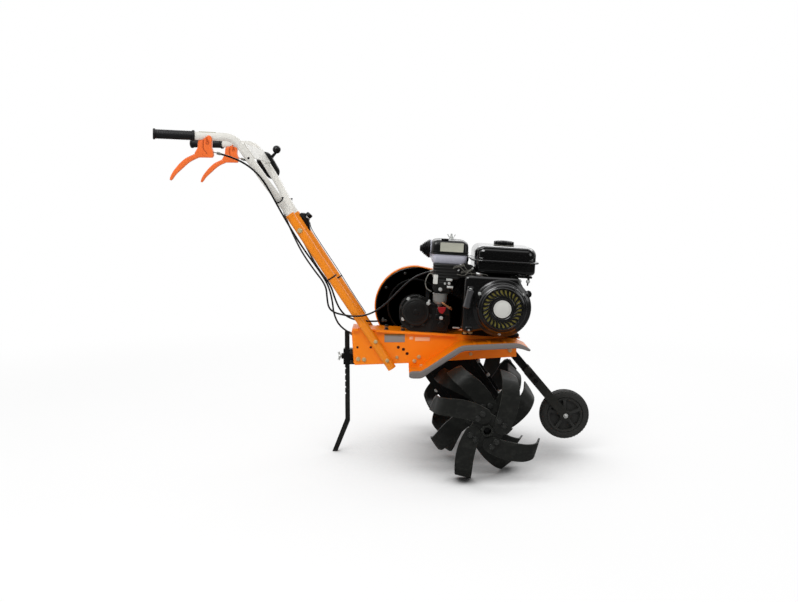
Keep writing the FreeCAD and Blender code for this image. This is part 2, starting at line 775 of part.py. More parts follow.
def handle():
    save_pair("lower_tube", lower_tube)
    save_pair("upper_tube", upper_tube)
    save_pair("grip", grip)
    save_pair("lever_bracket", lever_bracket)
    save_pair("clutch_lever", clutch_lever)
    save("handle_plate", handle_plate())
    save("throttle", throttle())
    save("stop_switch", stop_switch())


# Cables ----------------------------------------------------------------------------------------

def cable(node, places):
    """A round cable on straight runs joined by arcs as large as the runs allow."""
    points = [Vector(*place) for place in places]
    radii = []
    for before, at, after in zip(points, points[1:], points[2:]):
        turn = (at - before).getAngle(after - at)
        radii.append(0.45 * min((at - before).Length, (after - at).Length) / math.tan(turn / 2))
    shape = pipe(points, radii, cable_r)
    length = path_of(points, radii).Length
    print(f"{node}: length {length:.0f}, volume over section x length"
          f" {shape.Volume / (math.pi * cable_r ** 2 * length):.4f},"
          f" radii {' '.join(f'{r:.0f}' for r in radii)}")
    save(node, shape)
    return points


def ferrule(end, before, receiver, wire=0):
    """Sleeve on a cable's end and its bare inner wire, on in its direction to the face that takes it."""
    out = unit(before, end)
    sleeve = rod(end, end + out * ferrule_long, ferrule_r)
    sleeve = sleeve.fuse(rod(end, end + out * 4 * ferrule_long, wire or ferrule_r)).cut(receiver)
    return min(sleeve.Solids, key=lambda solid: (solid.CenterOfMass - end).Length)


def cables():
    throttle_points = cable("throttle_cable", [throttle_exit()[0]] + throttle_route)
    right = cable("clutch_cable_right", clutch_right_route)
    left = cable("clutch_cable_left", clutch_left_route)
    duct = on_deck(intake_duct())
    plate = on_deck(guard_plate())
    sleeves = [ferrule(throttle_points[-1], throttle_points[-2], duct),
               ferrule(right[0], right[1], lever_bracket(-1), wire_r),
               ferrule(right[-1], right[-2], rear_plate()),
               ferrule(left[0], left[1], lever_bracket(1), wire_r),
               ferrule(left[-1], left[-2], plate)]
    save("cable_ferrules", Part.makeCompound(sleeves))


# Transport wheel -------------------------------------------------------------------------------

def along_arm(share):
    return tuple(low + (high - low) * share for low, high in zip(arm_pivot, wheel_centre))


def transport_wheel():
    outside = frame_half - frame_thick - pivot_side_gap
    bar = hull_y(arm_pivot, pivot_tube_r, along_arm(0.5), pivot_tube_r - 0.01, -fork_in, fork_in)
    tube = round_y(arm_pivot, pivot_tube_r, -outside, outside)
    bore = round_y(arm_pivot, pivot_r + run_clear, -outside - 1, outside + 1)
    save("wheel_arm", bar.fuse(tube).cut(bore).removeSplitter())
    for name, side in (("right", -1), ("left", 1)):
        faces = sorted((side * fork_in, side * fork_out))
        plate = hull_y(along_arm(0.33), fork_wide / 2, wheel_centre, fork_wide / 2 - 0.01, *faces)
        save("wheel_fork_" + name, plate.cut(round_y(wheel_centre, wheel_bolt_r, *faces)))
    pivot = round_y(arm_pivot, pivot_r, -frame_half - 1, frame_half + 1)
    heads = [hexagon_y(arm_pivot, pivot_head, frame_half, frame_half + 7),
             hexagon_y(arm_pivot, pivot_head, -frame_half - 7, -frame_half)]
    save("pivot_bolt", pivot.fuse(heads).removeSplitter())
    axle = round_y(wheel_centre, wheel_bolt_r, -fork_out - 1, fork_out + 1)
    heads = [hexagon_y(wheel_centre, 20, fork_out, fork_out + 6),
             hexagon_y(wheel_centre, 20, -fork_out - 6, -fork_out)]
    save("wheel_bolt", axle.fuse(heads).removeSplitter())

    tyre = round_y(wheel_centre, wheel_r, -wheel_half, wheel_half)
    tyre = tyre.makeFillet(13, [edge for edge in tyre.Edges if isinstance(edge.Curve, Part.Circle)])
    save("wheel_tyre", tyre.cut(round_y(wheel_centre, rim_r, -wheel_half, wheel_half)))
    disc = round_y(wheel_centre, rim_r, -wheel_half + 6, wheel_half - 6)
    boss = round_y(wheel_centre, 19, -fork_in + 0.5, fork_in - 0.5)
    hub = disc.fuse(boss)
    for side in (-1, 1):
        floor_y, face_y = sorted((side * 8, side * (wheel_half - 6)))
        dish = round_y(wheel_centre, rim_r - 9, floor_y, face_y)
        dish = dish.cut(round_y(wheel_centre, 19, floor_y, face_y))
        for k in range(5):
            spoke = block((0, rim_r), (floor_y, face_y), (-5, 5))
            spoke.rotate(Vector(0, 0, 0), along_y, 72 * k - 20)
            spoke.translate(Vector(wheel_centre[0], 0, wheel_centre[1]))
            dish = dish.cut(spoke)
        hub = hub.cut(dish)
    hub = hub.cut(round_y(wheel_centre, wheel_bolt_r + run_clear, -fork_in, fork_in))
    save("wheel_hub", hub.removeSplitter())


# Drag stake ------------------------------------------------------------------------------------

def drag_stake():
    back, ahead = stake_x - stake_wide / 2, stake_x + stake_wide / 2
    lean = (stake_x - stake_foot_x) / stake_bend_z
    wide = stake_wide * math.hypot(1, lean)
    outline = [(back, stake_top), (ahead, stake_top), (ahead, stake_bend_z - 4),
               (stake_foot_x + wide / 2, 0), (stake_foot_x - wide / 2, 0), (back, stake_bend_z + 4)]
    stake = sheet_y(outline, -stake_half, stake_half)
    for k in range(5):
        notch = round_y((back - 1, bracket_z[0] - 16 - 22 * k), 4, -2 * stake_half, 2 * stake_half)
        stake = stake.cut(notch)
    save("drag_stake", stake)

    slide = 0.1
    outline = [(back - bracket_wall, z) for z in bracket_z] + [(back_edge(z), z) for z in reversed(bracket_z)]
    bracket = sheet_y(outline, -bracket_half, bracket_half)
    slot = block((back - slide, ahead + slide), (-stake_half - slide, stake_half + slide),
                 (bracket_z[0] - 1, bracket_z[1] + 1))
    bolt_z = (bracket_z[0] + bracket_z[1]) / 2
    tip = Vector(back - slide, 0, bolt_z)
    head = tip - Vector(22, 0, 0)
    bracket = bracket.cut(slot).cut(rod(head, tip + Vector(1, 0, 0), 4 + run_clear))
    save("stake_bracket", bracket)
    bolt = rod(head, tip, 4)
    wing = rounded_block((head.x - 4, head.x + 8), (-3, 3), (bolt_z - 13, bolt_z + 13), 3, along_y)
    save("stake_wing_bolt", bolt.fuse(wing).removeSplitter())


os.makedirs("parts", exist_ok=True)
tines()
tine_shaft()
chain_case()
frame()
save_pair("fender", fender)
save_pair("fender_edging", fender_edging)
belt_drive()
gear_case()
engine()
fuel_tank()
intake_and_exhaust()
handle()
cables()
transport_wheel()
drag_stake()

for name, place in (("tine shaft", (0, shaft_z)), ("arm pivot", arm_pivot), ("wheel", wheel_centre),
                    ("stake", (stake_x, 0)), ("hitch hole", (hitch_x, hitch_z))):
    print(f"{name:12s} x {place[0] - length_middle:.2f} z {place[1]:.2f}")
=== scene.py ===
import json
import math

import bpy
import numpy as np
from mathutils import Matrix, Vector


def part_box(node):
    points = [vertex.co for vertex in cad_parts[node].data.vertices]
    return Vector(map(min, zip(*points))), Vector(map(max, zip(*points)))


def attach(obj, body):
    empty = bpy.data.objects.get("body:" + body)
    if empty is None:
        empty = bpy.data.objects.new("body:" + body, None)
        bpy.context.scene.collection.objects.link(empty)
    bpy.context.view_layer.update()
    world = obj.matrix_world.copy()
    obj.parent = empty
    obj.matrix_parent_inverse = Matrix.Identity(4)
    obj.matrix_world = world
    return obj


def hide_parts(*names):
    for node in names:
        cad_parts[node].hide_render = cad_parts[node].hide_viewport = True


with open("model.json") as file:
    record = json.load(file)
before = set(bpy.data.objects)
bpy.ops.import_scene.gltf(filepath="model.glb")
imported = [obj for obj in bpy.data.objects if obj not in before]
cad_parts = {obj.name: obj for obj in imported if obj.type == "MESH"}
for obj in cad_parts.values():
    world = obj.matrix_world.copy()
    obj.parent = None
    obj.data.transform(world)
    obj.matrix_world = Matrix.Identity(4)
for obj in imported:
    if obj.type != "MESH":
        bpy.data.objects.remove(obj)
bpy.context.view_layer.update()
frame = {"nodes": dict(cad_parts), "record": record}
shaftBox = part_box("tine_shaft")
shaftX = (shaftBox[0].x + shaftBox[1].x) / 2
print("frame loaded:", len(frame["nodes"]), "nodes")

# Sizes below are millimetres in the part's drawing axes, x = 0 over the tine shaft and z = 0 on the
# floor; what stands on the sloping deck is in the deck's own axes, x along it and z square to it.
deck = dict(slope=math.atan2(32, 557), z=0.414968)


def onFloor(points):
    return points * 0.001 + np.array([shaftX, 0, 0])


def onDeck(points):
    cosine, sine = math.cos(deck["slope"]), math.sin(deck["slope"])
    x, y, z = points.T
    return np.stack([x * cosine + z * sine, y, z * cosine - x * sine], -1) * 0.001 + [shaftX, 0, deck["z"]]


# ---- control cables: the routes of the part's own cables, one smooth curve each

cables = dict(
    throttle_cable=dict(length=0.949, stiffness="medium", points=[
        (-705.9, 180.7, 937.5), (-690, 160, 905), (-682, 124, 862), (-668, 92, 818), (-636, 58, 752),
        (-600, 16, 690), (-556, -32, 636), (-512, -78, 588), (-508.5, -82, 545), (-504, -84, 514),
        (-487, -86, 498), (-458, -87, 490), (-424, -87, 484.5), (-388, -88, 486), (-352, -90, 499),
        (-318, -91, 522), (-288, -91, 551), (-258, -91, 583), (-224, -91, 612), (-196, -90, 626),
        (-166, -91, 635)]),
    clutch_cable_right=dict(length=0.778, stiffness="medium", points=[
        (-826, -223, 1014), (-796, -217, 1006), (-750, -203, 984), (-710, -187, 948), (-684, -157, 900),
        (-662, -112, 846), (-630, -90, 784), (-586, -82, 710), (-535, -76, 638), (-503.5, -73, 586),
        (-492, -62, 532), (-489, -46, 484), (-468, -27, 438), (-437.5, -22, 420)]),
    clutch_cable_left=dict(length=0.918, stiffness="medium", points=[
        (-826, 219, 1013), (-796, 206, 1003), (-764, 182, 974), (-731, 155, 935), (-696, 122, 885),
        (-663, 90, 835), (-626, 62, 776), (-587, 24, 712), (-548, -28, 648), (-497.5, -68, 590),
        (-484, -58, 540), (-468, -42, 500), (-444, -23, 473), (-407, 9, 457), (-367, 43, 450),
        (-345, 68, 447), (-328, 92, 445)]),
)


def makeCable(node, length, stiffness, points):
    places = onFloor(np.array(points, float))
    data = bpy.data.curves.new(node + "_line", "CURVE")
    data.dimensions = "3D"
    data.bevel_depth = 1.0
    data.bevel_resolution = 4
    data.resolution_u = 10
    data.use_fill_caps = True
    spline = data.splines.new("NURBS")
    spline.points.add(len(places) - 1)
    spline.points.foreach_set("co", np.column_stack([places, np.ones(len(places))]).ravel())
    spline.points.foreach_set("radius", np.full(len(places), 0.003))
    spline.order_u = 3
    spline.use_endpoint_u = True
    line = bpy.data.objects.new(node + "_line", data)
    bpy.context.collection.objects.link(line)
    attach(line, "chassis")
    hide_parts(node)
    return line


cableLines = [makeCable(node, **facts) for node, facts in cables.items()]
print("cables:", len(cableLines))


# ---- camera and studio

view = dict(lens=41.5, down=6.57, place=(shaftX - 0.2687, -3.130, 0.8866))
studio = dict(floorHalf=3.4, floorGlow=0.8, fade=(1.6, 3.2), shadeReach=0.9, shadeDepth=(0.2, 0.93), dim=0.03,
              daylight=0.5)
lamps = dict(
    keyLamp=dict(place=(-1.1, -2.2, 3.1), aim=(0, 0, 0.5), size=(1.8, 1.4), power=58),
    fillLamp=dict(place=(2.6, -2.0, 1.5), aim=(0, 0, 0.4), size=(1.2, 1.6), power=10),
    rimLamp=dict(place=(1.9, 1.5, 2.6), aim=(0.1, 0, 0.5), size=(0.9, 0.9), power=14),
    backLamp=dict(place=(0.3, 2.8, 2.6), aim=(0, 0, 0.6), size=(2.4, 1.0), power=26),
)


def makeCamera():
    data = bpy.data.cameras.new("camera")
    data.lens = view["lens"]
    data.sensor_width = 36
    camera = bpy.data.objects.new("camera", data)
    bpy.context.collection.objects.link(camera)
    camera.location = view["place"]
    camera.rotation_euler = (math.radians(90 - view["down"]), 0, 0)
    bpy.context.scene.camera = camera


def addLamp(name, place, aim, size, power):
    data = bpy.data.lights.new(name, "AREA")
    data.shape = "RECTANGLE"
    data.size, data.size_y = size
    data.energy = power
    lamp = bpy.data.objects.new(name, data)
    bpy.context.collection.objects.link(lamp)
    lamp.location = place
    lamp.rotation_euler = (Vector(aim) - Vector(place)).to_track_quat("-Z", "Y").to_euler()


makeCamera()
for name, facts in lamps.items():
    addLamp(name, **facts)
bpy.context.scene.view_settings.view_transform = "Standard"
print("camera and lamps ready")


# ---- materials: a finish is a Principled shader and the nodes that vary over the surface

class Wire:
    # one output socket; arithmetic on it adds Math nodes
    def __init__(self, nodes, socket):
        self.nodes = nodes
        self.socket = socket

    def math(self, operation, *values):
        return self.nodes.node("Math", {"operation": operation}, dict(enumerate(values)))

    def __add__(self, other):
        return self.math("ADD", self, other)

    def __sub__(self, other):
        return self.math("SUBTRACT", self, other)

    def __rsub__(self, other):
        return self.math("SUBTRACT", other, self)

    def __mul__(self, other):
        return self.math("MULTIPLY", self, other)

    __radd__ = __add__
    __rmul__ = __mul__


class Nodes:
    # the nodes of one material or world
    def __init__(self, tree):
        self.tree = tree

    def feed(self, socket, value):
        if isinstance(value, Wire):
            self.tree.links.new(value.socket, socket)
        else:
            socket.default_value = value

    def node(self, kind, settings=None, values=None, output=0):
        made = self.tree.nodes.new("ShaderNode" + kind)
        for key, value in (settings or {}).items():
            if key == "stops":
                fillRamp(made.color_ramp, value)
            else:
                setattr(made, key, value)
        for key, value in (values or {}).items():
            self.feed(made.inputs[key], value)
        return Wire(self, made.outputs[output])

    def mask(self, factor, low, high):
        # 0 below low and 1 above high, or the other way round, with a smooth step between
        ranges = {"Value": factor, "From Min": low, "From Max": high}
        return self.node("MapRange", {"interpolation_type": "SMOOTHSTEP"}, ranges)

    def blend(self, factor, first, second):
        # sockets 0, 6, 7 and 2 of a Mix node are its factor, its two colours and its colour result
        settings = {"data_type": "RGBA", "blend_type": "MIX"}
        return self.node("Mix", settings, {0: factor, 6: first, 7: second}, 2)


class Finish(Nodes):
    def __init__(self, name, colour, roughness, metallic=0.0, coat=0.0, coatRoughness=0.1, specular=0.5):
        self.material = bpy.data.materials.new(name)
        self.material.use_nodes = True
        super().__init__(self.material.node_tree)
        self.tree.nodes.clear()
        self.output = self.tree.nodes.new("ShaderNodeOutputMaterial")
        self.shader = self.tree.nodes.new("ShaderNodeBsdfPrincipled")
        self.tree.links.new(self.shader.outputs[0], self.output.inputs["Surface"])
        self.colour = rgb(colour)
        self.set("Base Color", self.colour)
        self.set("Roughness", roughness)
        self.set("Metallic", metallic)
        self.set("Coat Weight", coat)
        self.set("Coat Roughness", coatRoughness)
        self.set("Specular IOR Level", specular)
        self.place = self.node("TexCoord", output="Object")

    def set(self, name, value):
        self.feed(self.shader.inputs[name], value)

    def noise(self, scale, detail, stretch=(1.0, 1.0, 1.0)):
        # cells of one over the scale, in metres
        place = self.node("Mapping", None, {"Vector": self.place, "Scale": stretch})
        return self.node("TexNoise", None, {"Vector": place, "Scale": scale, "Detail": detail}, "Fac")

    def shades(self, pattern, dark, pale):
        # between a darker and a paler shade of the finish's own colour
        return self.blend(pattern, scaled(self.colour, dark), scaled(self.colour, pale))

    def gloss(self, scale, detail, spread, least):
        # roughness that wanders up from its least value
        self.set("Roughness", self.noise(scale, detail) * spread + least)

    def rounded(self, radius):
        return self.node("Bevel", {"samples": 4}, {"Radius": radius})

    def edges(self, radius):
        # 1 along edges and 0 on flats: how far the rounded normal turns from the face's own
        across = {0: self.rounded(radius), 1: self.node("NewGeometry", output="Normal")}
        return self.mask(self.node("VectorMath", {"operation": "DOT_PRODUCT"}, across, "Value"), 0.995, 0.86)

    def relief(self, height, distance, edge):
        # the shader's normal: a height over the surface, on edges rounded off by a radius
        values = {"Height": height, "Distance": distance, "Strength": 1.0}
        if edge:
            values["Normal"] = self.rounded(edge)
        self.set("Normal", self.node("Bump", None, values))


def rgb(hexa):
    # a colour written in sRGB, as the linear value that a shader takes
    parts = np.array([int(hexa[k:k + 2], 16) for k in (0, 2, 4)]) / 255
    linear = np.where(parts <= 0.04045, parts / 12.92, ((parts + 0.055) / 1.055) ** 2.4)
    return (*linear.tolist(), 1.0)


def scaled(colour, share):
    return (*[part * share for part in colour[:3]], 1.0)


def fillRamp(ramp, stops):
    while len(ramp.elements) < len(stops):
        ramp.elements.new(0.5)
    for element, (place, colour) in zip(ramp.elements, stops):
        element.position = place
        element.color = colour


finishes = {}


def powderCoat(name, colour, roughness=0.36, edgeWearAndHighlight=0.35, peel=0.00012):
    # baked powder paint: fine orange peel under a soft gloss, a slow drift of the colour, paler edges
    finish = Finish(name, colour, roughness, coat=0.06, coatRoughness=0.25, specular=0.3)
    shade = finish.shades(finish.noise(7, 2), 0.93, 1.06)
    # paler edges in patches: partly rubbing, partly a painted edge highlight
    if edgeWearAndHighlight:
        paleMark = finish.edges(0.0016) * finish.mask(finish.noise(60, 3), 0.35, 0.7)
        shade = finish.blend(paleMark * edgeWearAndHighlight, shade, scaled(finish.colour, 1.35))
    finish.set("Base Color", shade)
    finish.gloss(40, 2, 0.14, roughness - 0.07)
    finish.relief(finish.noise(420, 2), peel, 0.0016)
    finishes[name] = finish.material


def blackLacquer(name, colour, paleMark, roughness=0.45, paleEdgeShare=0.5):
    # thin black lacquer on forged steel: scale shows as a light mottle, dull streaks and paler edges
    finish = Finish(name, colour, roughness, specular=0.22)
    mottle = finish.mask(finish.noise(55, 5), 0.5, 0.74)
    streak = finish.mask(finish.noise(26, 4, (1, 1, 3)), 0.5, 0.78)
    # paler edges in patches: partly rubbed steel, partly a painted edge highlight
    edgeWearAndHighlight = finish.edges(0.0014) * finish.mask(finish.noise(48, 4), 0.3, 0.62)
    shade = finish.blend(mottle * 0.25, finish.colour, rgb(paleMark))
    shade = finish.blend(streak * 0.25, shade, rgb(paleMark))
    finish.set("Base Color", finish.blend(edgeWearAndHighlight * paleEdgeShare, shade, scaled(rgb(paleMark), 2.2)))
    finish.gloss(32, 4, 0.3, roughness - 0.15)
    finish.relief(finish.noise(190, 4), 0.0004, 0.0014)
    finishes[name] = finish.material


def moulded(name, colour, roughness, grain=900, deep=0.0001, coat=0.0, edge=0.001, gloss=0.35):
    # injection-moulded plastic or rubber: a fine even grain and a faint cloudiness
    finish = Finish(name, colour, roughness, coat=coat, specular=gloss)
    finish.set("Base Color", finish.shades(finish.noise(18, 3), 0.86, 1.14))
    finish.gloss(60, 3, 0.16, roughness - 0.08)
    finish.relief(finish.noise(grain, 2), deep, edge)
    finishes[name] = finish.material


def glossPaint(name, colour, roughness=0.13):
    # stoved gloss enamel: deep and smooth, with a faint waviness and a little dust in it
    finish = Finish(name, colour, roughness, coat=0.6, coatRoughness=0.06)
    dust = finish.mask(finish.noise(300, 2), 0.68, 0.8)
    finish.set("Base Color", finish.blend(dust * 0.2, finish.colour, rgb("3a3a38")))
    finish.gloss(22, 3, 0.1, roughness - 0.03)
    finish.relief(finish.noise(16, 1), 0.0004, 0.0012)
    finishes[name] = finish.material


def castMetal(name, colour, roughness, metallic, grain=320, deep=0.0004):
    # sand or die casting: a pebbled skin with painted shade in its hollows and painted light on its tops
    finish = Finish(name, colour, roughness, metallic, specular=0.35)
    pebble = finish.noise(grain, 4)
    finish.set("Base Color", finish.shades(pebble, 0.72, 1.22))
    finish.gloss(70, 3, 0.25, roughness - 0.12)
    finish.relief(pebble, deep, 0.0012)
    finishes[name] = finish.material


def platedSteel(name, colour, roughness, metallic):
    # zinc-plated, brass or bare turned metal: bright, finely brushed, a faint cloud of colour
    finish = Finish(name, colour, roughness, metallic)
    finish.set("Base Color", finish.shades(finish.noise(90, 3), 0.8, 1.15))
    finish.gloss(240, 2, 0.24, roughness - 0.1)
    finish.relief(finish.noise(700, 2), 0.00006, 0.0005)
    finishes[name] = finish.material


def heatedSteel(name, colour):
    # silencer steel: dull grey, browned and blued in clouds where it runs hot
    finish = Finish(name, colour, 0.5, 0.85)
    heat = finish.mask(finish.noise(14, 3), 0.35, 0.68)
    stops = [(0.0, finish.colour), (0.45, rgb("5d4a3a")), (0.75, rgb("3a3f52")), (1.0, rgb("26262a"))]
    tint = finish.node("ValToRGB", {"stops": stops}, {"Fac": heat}, "Color")
    finish.set("Base Color", finish.blend(finish.noise(160, 4) * 0.5, tint, scaled(finish.colour, 0.7)))
    finish.gloss(45, 3, 0.3, 0.35)
    finish.relief(finish.noise(260, 3), 0.0002, 0.001)
    finishes[name] = finish.material


# frame, handlebars and fenders
powderCoat("orangePowder", "fa8502")
powderCoat("tubeOrange", "ee8812", edgeWearAndHighlight=0.0, peel=0.00003)
powderCoat("whitePowder", "dedcd5", 0.34, edgeWearAndHighlight=0.0, peel=0.00003)
blackLacquer("tineLacquer", "1c1d1b", "3a3b36", paleEdgeShare=0.9)
blackLacquer("stakeLacquer", "1c1c1b", "34322f", 0.4)
blackLacquer("forkLacquer", "262623", "3c3b37", 0.4, 0.3)
blackLacquer("ironLacquer", "0f0f0f", "242422", 0.36, 0.3)
moulded("edgingRubber", "736d6a", 0.5)
moulded("leverPlastic", "ee7030", 0.36, 900, 0.00005, 0.25)
moulded("seamPlastic", "9a3c12", 0.45, edge=0.0)
moulded("gripRubber", "161618", 0.52, 700, 0.0002)
moulded("cableSleeve", "101011", 0.36, edge=0.0006)
moulded("tiePlastic", "141414", 0.4, edge=0.0004)
moulded("tyreRubber", "2a2a28", 0.66, 500, 0.0002)
moulded("hubPlastic", "30302e", 0.42)
# painted shade for the dark cups down the side plates' open holes
moulded("darkRust", "3a0d02", 0.6, edge=0.0)
# engine and drive
glossPaint("glossBlack", "0a0a0a")
glossPaint("shroudBlack", "0c0c0c", 0.2)
moulded("guardBlack", "0c0c0a", 0.34, 500, 0.00006, 0.2)
moulded("cleanerBlack", "111111", 0.3, 600, 0.00005, 0.25)
moulded("blackPlastic", "0b0b0c", 0.36, coat=0.15)
moulded("redPlastic", "8f0a12", 0.3, coat=0.3)
moulded("ventOlive", "7c732e", 0.4, 300, 0.0002)
moulded("pullGrey", "3c3c3e", 0.22, coat=0.7, gloss=0.6)
castMetal("engineBlack", "101010", 0.46, 0.0, 260, 0.0005)
castMetal("caseAlloy", "232322", 0.46, 0.2)
castMetal("castAlloy", "a8a8a4", 0.4, 0.7)
castMetal("paleAlloy", "c9c9d6", 0.36, 0.1, 500, 0.0001)
castMetal("carbDark", "1c1c1b", 0.4, 0.3)
castMetal("gearBlack", "171615", 0.4, 0.0, 260, 0.0003)
heatedSteel("silencerSteel", "6c6a66")
# blank plates
moulded("blankPlate", "abab9d", 0.38, 1200, 0.00003, 0.2)
moulded("greyPlate", "8f8b86", 0.45, 1200, 0.00003, 0.1)
moulded("discSilver", "c9c9c4", 0.34, 1200, 0.00002, 0.2)
moulded("palePlate", "c8c8c2", 0.4, 1200, 0.00003)
moulded("warmPlate", "f4b98c", 0.4, 1200, 0.00003)
# bolts, rods and pipes
platedSteel("zinc", "cfd1ce", 0.28, 0.4)
platedSteel("yellowZinc", "d3bf8e", 0.32, 0.3)
platedSteel("blackBolt", "30312f", 0.3, 0.3)
platedSteel("turnedSteel", "8a8880", 0.34, 0.6)
platedSteel("copperPipe", "a9744c", 0.32, 0.5)

# the finish that each of the record's slots has on the CAD nodes, and the slot of each other finish
slotFinish = dict(
    bare_steel="turnedSteel", black_iron="ironLacquer", black_plastic="blackPlastic",
    cable_black="cableSleeve", carb_alloy="castAlloy", case_aluminium="caseAlloy",
    engine_aluminium="castAlloy", engine_black="engineBlack", fender_sheet="orangePowder",
    grey_edging="edgingRubber", grip_rubber="gripRubber", guard_black="guardBlack",
    hub_plastic="hubPlastic", lever_plastic="leverPlastic", orange_paint="orangePowder",
    shroud_black="shroudBlack", stake_steel="stakeLacquer", tank_black="glossBlack",
    tine_steel="tineLacquer", tyre="tyreRubber", white_paint="whitePowder", zinc_steel="zinc",
)
nodeFinish = dict(lower_tube_right="tubeOrange", lower_tube_left="tubeOrange",
                  wheel_fork_right="forkLacquer", wheel_fork_left="forkLacquer")
finishSlot = {finish: slot for slot, finish in slotFinish.items()}
finishSlot.update(
    tubeOrange="orange_paint", forkLacquer="black_iron", paleAlloy="engine_aluminium",
    ventOlive="shroud_black", yellowZinc="zinc_steel", copperPipe="bare_steel", silencerSteel="engine_black",
    discSilver="engine_aluminium", carbDark="carb_alloy", gearBlack="case_aluminium",
    seamPlastic="lever_plastic", blackBolt="zinc_steel", darkRust="orange_paint",
)
for plastic in ("tiePlastic", "redPlastic", "blankPlate", "greyPlate", "pullGrey", "cleanerBlack",
                "palePlate", "warmPlate"):
    finishSlot[plastic] = "black_plastic"

for part in frame["record"]["subparts"]:
    name = part["node"]
    node = frame["nodes"][name]
    node.data.materials.clear()
    node.data.materials.append(finishes[nodeFinish.get(name, slotFinish[part["material_slot"]])])
for line in cableLines:
    line.data.materials.append(finishes["cableSleeve"])
print("finishes:", len(finishes))


# ---- floor and surround

def makeFloor():
    half = studio["floorHalf"]
    mesh = bpy.data.meshes.new("floor")
    mesh.from_pydata([(-half, -half, 0), (half, -half, 0), (half, half, 0), (-half, half, 0)], [],
                     [(0, 1, 2, 3)])
    floor = bpy.data.objects.new("floor", mesh)
    bpy.context.collection.objects.link(floor)
    paper = Finish("floorPaper", "ffffff", 0.9, specular=0.0)
    far = paper.node("VectorMath", {"operation": "LENGTH"}, {0: paper.place}, "Value")
    seen = paper.node("LightPath", output="Is Camera Ray")
    fade = paper.mask(far, *studio["fade"])
    share = seen * (fade * (1 - studio["floorGlow"]) + studio["floorGlow"])
    # painted shadow: the glow fades where the object hangs close over the floor; in reflections the floor is
    # grey
    near = paper.node("AmbientOcclusion", {"samples": 32}, {"Distance": studio["shadeReach"]}, "AO")
    lit = paper.mask(near, *studio["shadeDepth"]) * (1 - fade) + fade
    paintedShadow = paper.blend(lit, rgb("000000"), rgb("ffffff"))
    glow = paper.node("Emission", None, {"Color": paintedShadow, "Strength": 1.0})
    glossy = paper.node("LightPath", output="Is Glossy Ray")
    paper.set("Base Color", paper.blend(glossy, rgb("ffffff"), rgb("6c6c6c")))
    mixed = paper.node("MixShader", None, {0: share, 1: Wire(paper, paper.shader.outputs[0]), 2: glow})
    paper.tree.links.new(mixed.socket, paper.output.inputs["Surface"])
    floor.data.materials.append(paper.material)


def makeWorld():
    # white to the camera; in reflections white above and behind, dim low down in front; plain daylight
    world = bpy.data.worlds.new("studio")
    bpy.context.scene.world = world
    world.use_nodes = True
    sky = Nodes(world.node_tree)
    back = sky.tree.nodes["Background"]
    direction = sky.node("TexCoord", output="Generated")
    x, y, z = [sky.node("SeparateXYZ", None, {0: direction}, axis) for axis in (0, 1, 2)]
    bright = sky.mask(y * 0.9 - x * 0.45 + z * 1.3, 0.05, 0.75)
    gloss = bright * (1 - studio["dim"]) + studio["dim"]
    camera, glossy, through = [sky.node("LightPath", output="Is %s Ray" % kind)
                               for kind in ("Camera", "Glossy", "Transmission")]
    shown = camera + through + glossy * gloss
    plain = (1 - camera) * (1 - glossy) * (1 - through) * studio["daylight"]
    back.inputs["Color"].default_value = (1, 1, 1, 1)
    sky.feed(back.inputs["Strength"], shown + plain)


makeFloor()
makeWorld()
print("floor and surround ready")


# ---- surfaces: every shape is (points, quads), its points worked out on a grid as whole arrays

# which way a part faces: the machine's right side is at low y and its front at high x
rightward, leftward = (0, -1, 0), (0, 1, 0)
upward, downward = (0, 0, 1), (0, 0, -1)
forward, backward = (1, 0, 0), (-1, 0, 0)


def gridFaces(rows, columns, loopRows):
    # the quads between neighbouring points of a grid laid out row by row, each row a closed ring
    row = np.arange(rows if loopRows else rows - 1)[:, None]
    column = np.arange(columns)[None, :]
    nextRow, nextColumn = (row + 1) % rows, (column + 1) % columns
    corners = [row * columns + column, row * columns + nextColumn,
               nextRow * columns + nextColumn, nextRow * columns + column]
    return np.stack(np.broadcast_arrays(*corners), -1).reshape(-1, 4)


def outward(points, faces):
    # turns the faces round where the volume they enclose comes out negative
    a, b, c, d = (points[faces[:, k]] for k in range(4))
    volume = np.einsum("ij,ij->", a, np.cross(b, c)) + np.einsum("ij,ij->", a, np.cross(c, d))
    return points, faces[:, ::-1] if volume < 0 else faces


def closedGrid(grid, loopRows=False):
    # a stack of rings; each end is drawn together to its middle unless the rows close on themselves
    if not loopRows:
        ends = [np.broadcast_to(grid[k].mean(0), grid[k].shape) for k in (0, -1)]
        grid = np.concatenate([ends[0][None], grid, ends[1][None]])
    rows, columns = grid.shape[:2]
    return outward(grid.reshape(-1, 3), gridFaces(rows, columns, loopRows))


def joined(*shapes):
    # several shapes as one
    starts = np.cumsum([0] + [len(points) for points, _ in shapes[:-1]])
    return (np.concatenate([points for points, _ in shapes]),
            np.concatenate([faces + start for (_, faces), start in zip(shapes, starts)]))


def moved(shape, offset=(0, 0, 0), turn=0.0, about=(0, 0, 0)):
    # turned by degrees about the y axis through a point, then shifted
    points, faces = shape
    cosine, sine = math.cos(math.radians(turn)), math.sin(math.radians(turn))
    out = points - np.array(about, float)
    x, z = out[:, 0].copy(), out[:, 2].copy()
    out[:, 0], out[:, 2] = z * sine + x * cosine, z * cosine - x * sine
    return out + np.array(about, float) + np.array(offset, float), faces


def ringOf(shape, count, about, start=0.0):
    # copies set evenly round an axis across the machine
    return joined(*[moved(shape, turn=start + 360 * k / count, about=about) for k in range(count)])


def mirrored(shape):
    # the same shape on the other side of the middle plane
    points, faces = shape
    return points * [1, -1, 1], faces[:, ::-1]


def bothSides(*shapes):
    # the shapes as one and its mirror image
    shape = joined(*shapes)
    return joined(shape, mirrored(shape))


def unit(vector):
    # each vector over its own length
    vector = np.asarray(vector, float)
    return vector / np.linalg.norm(vector, axis=-1, keepdims=True)


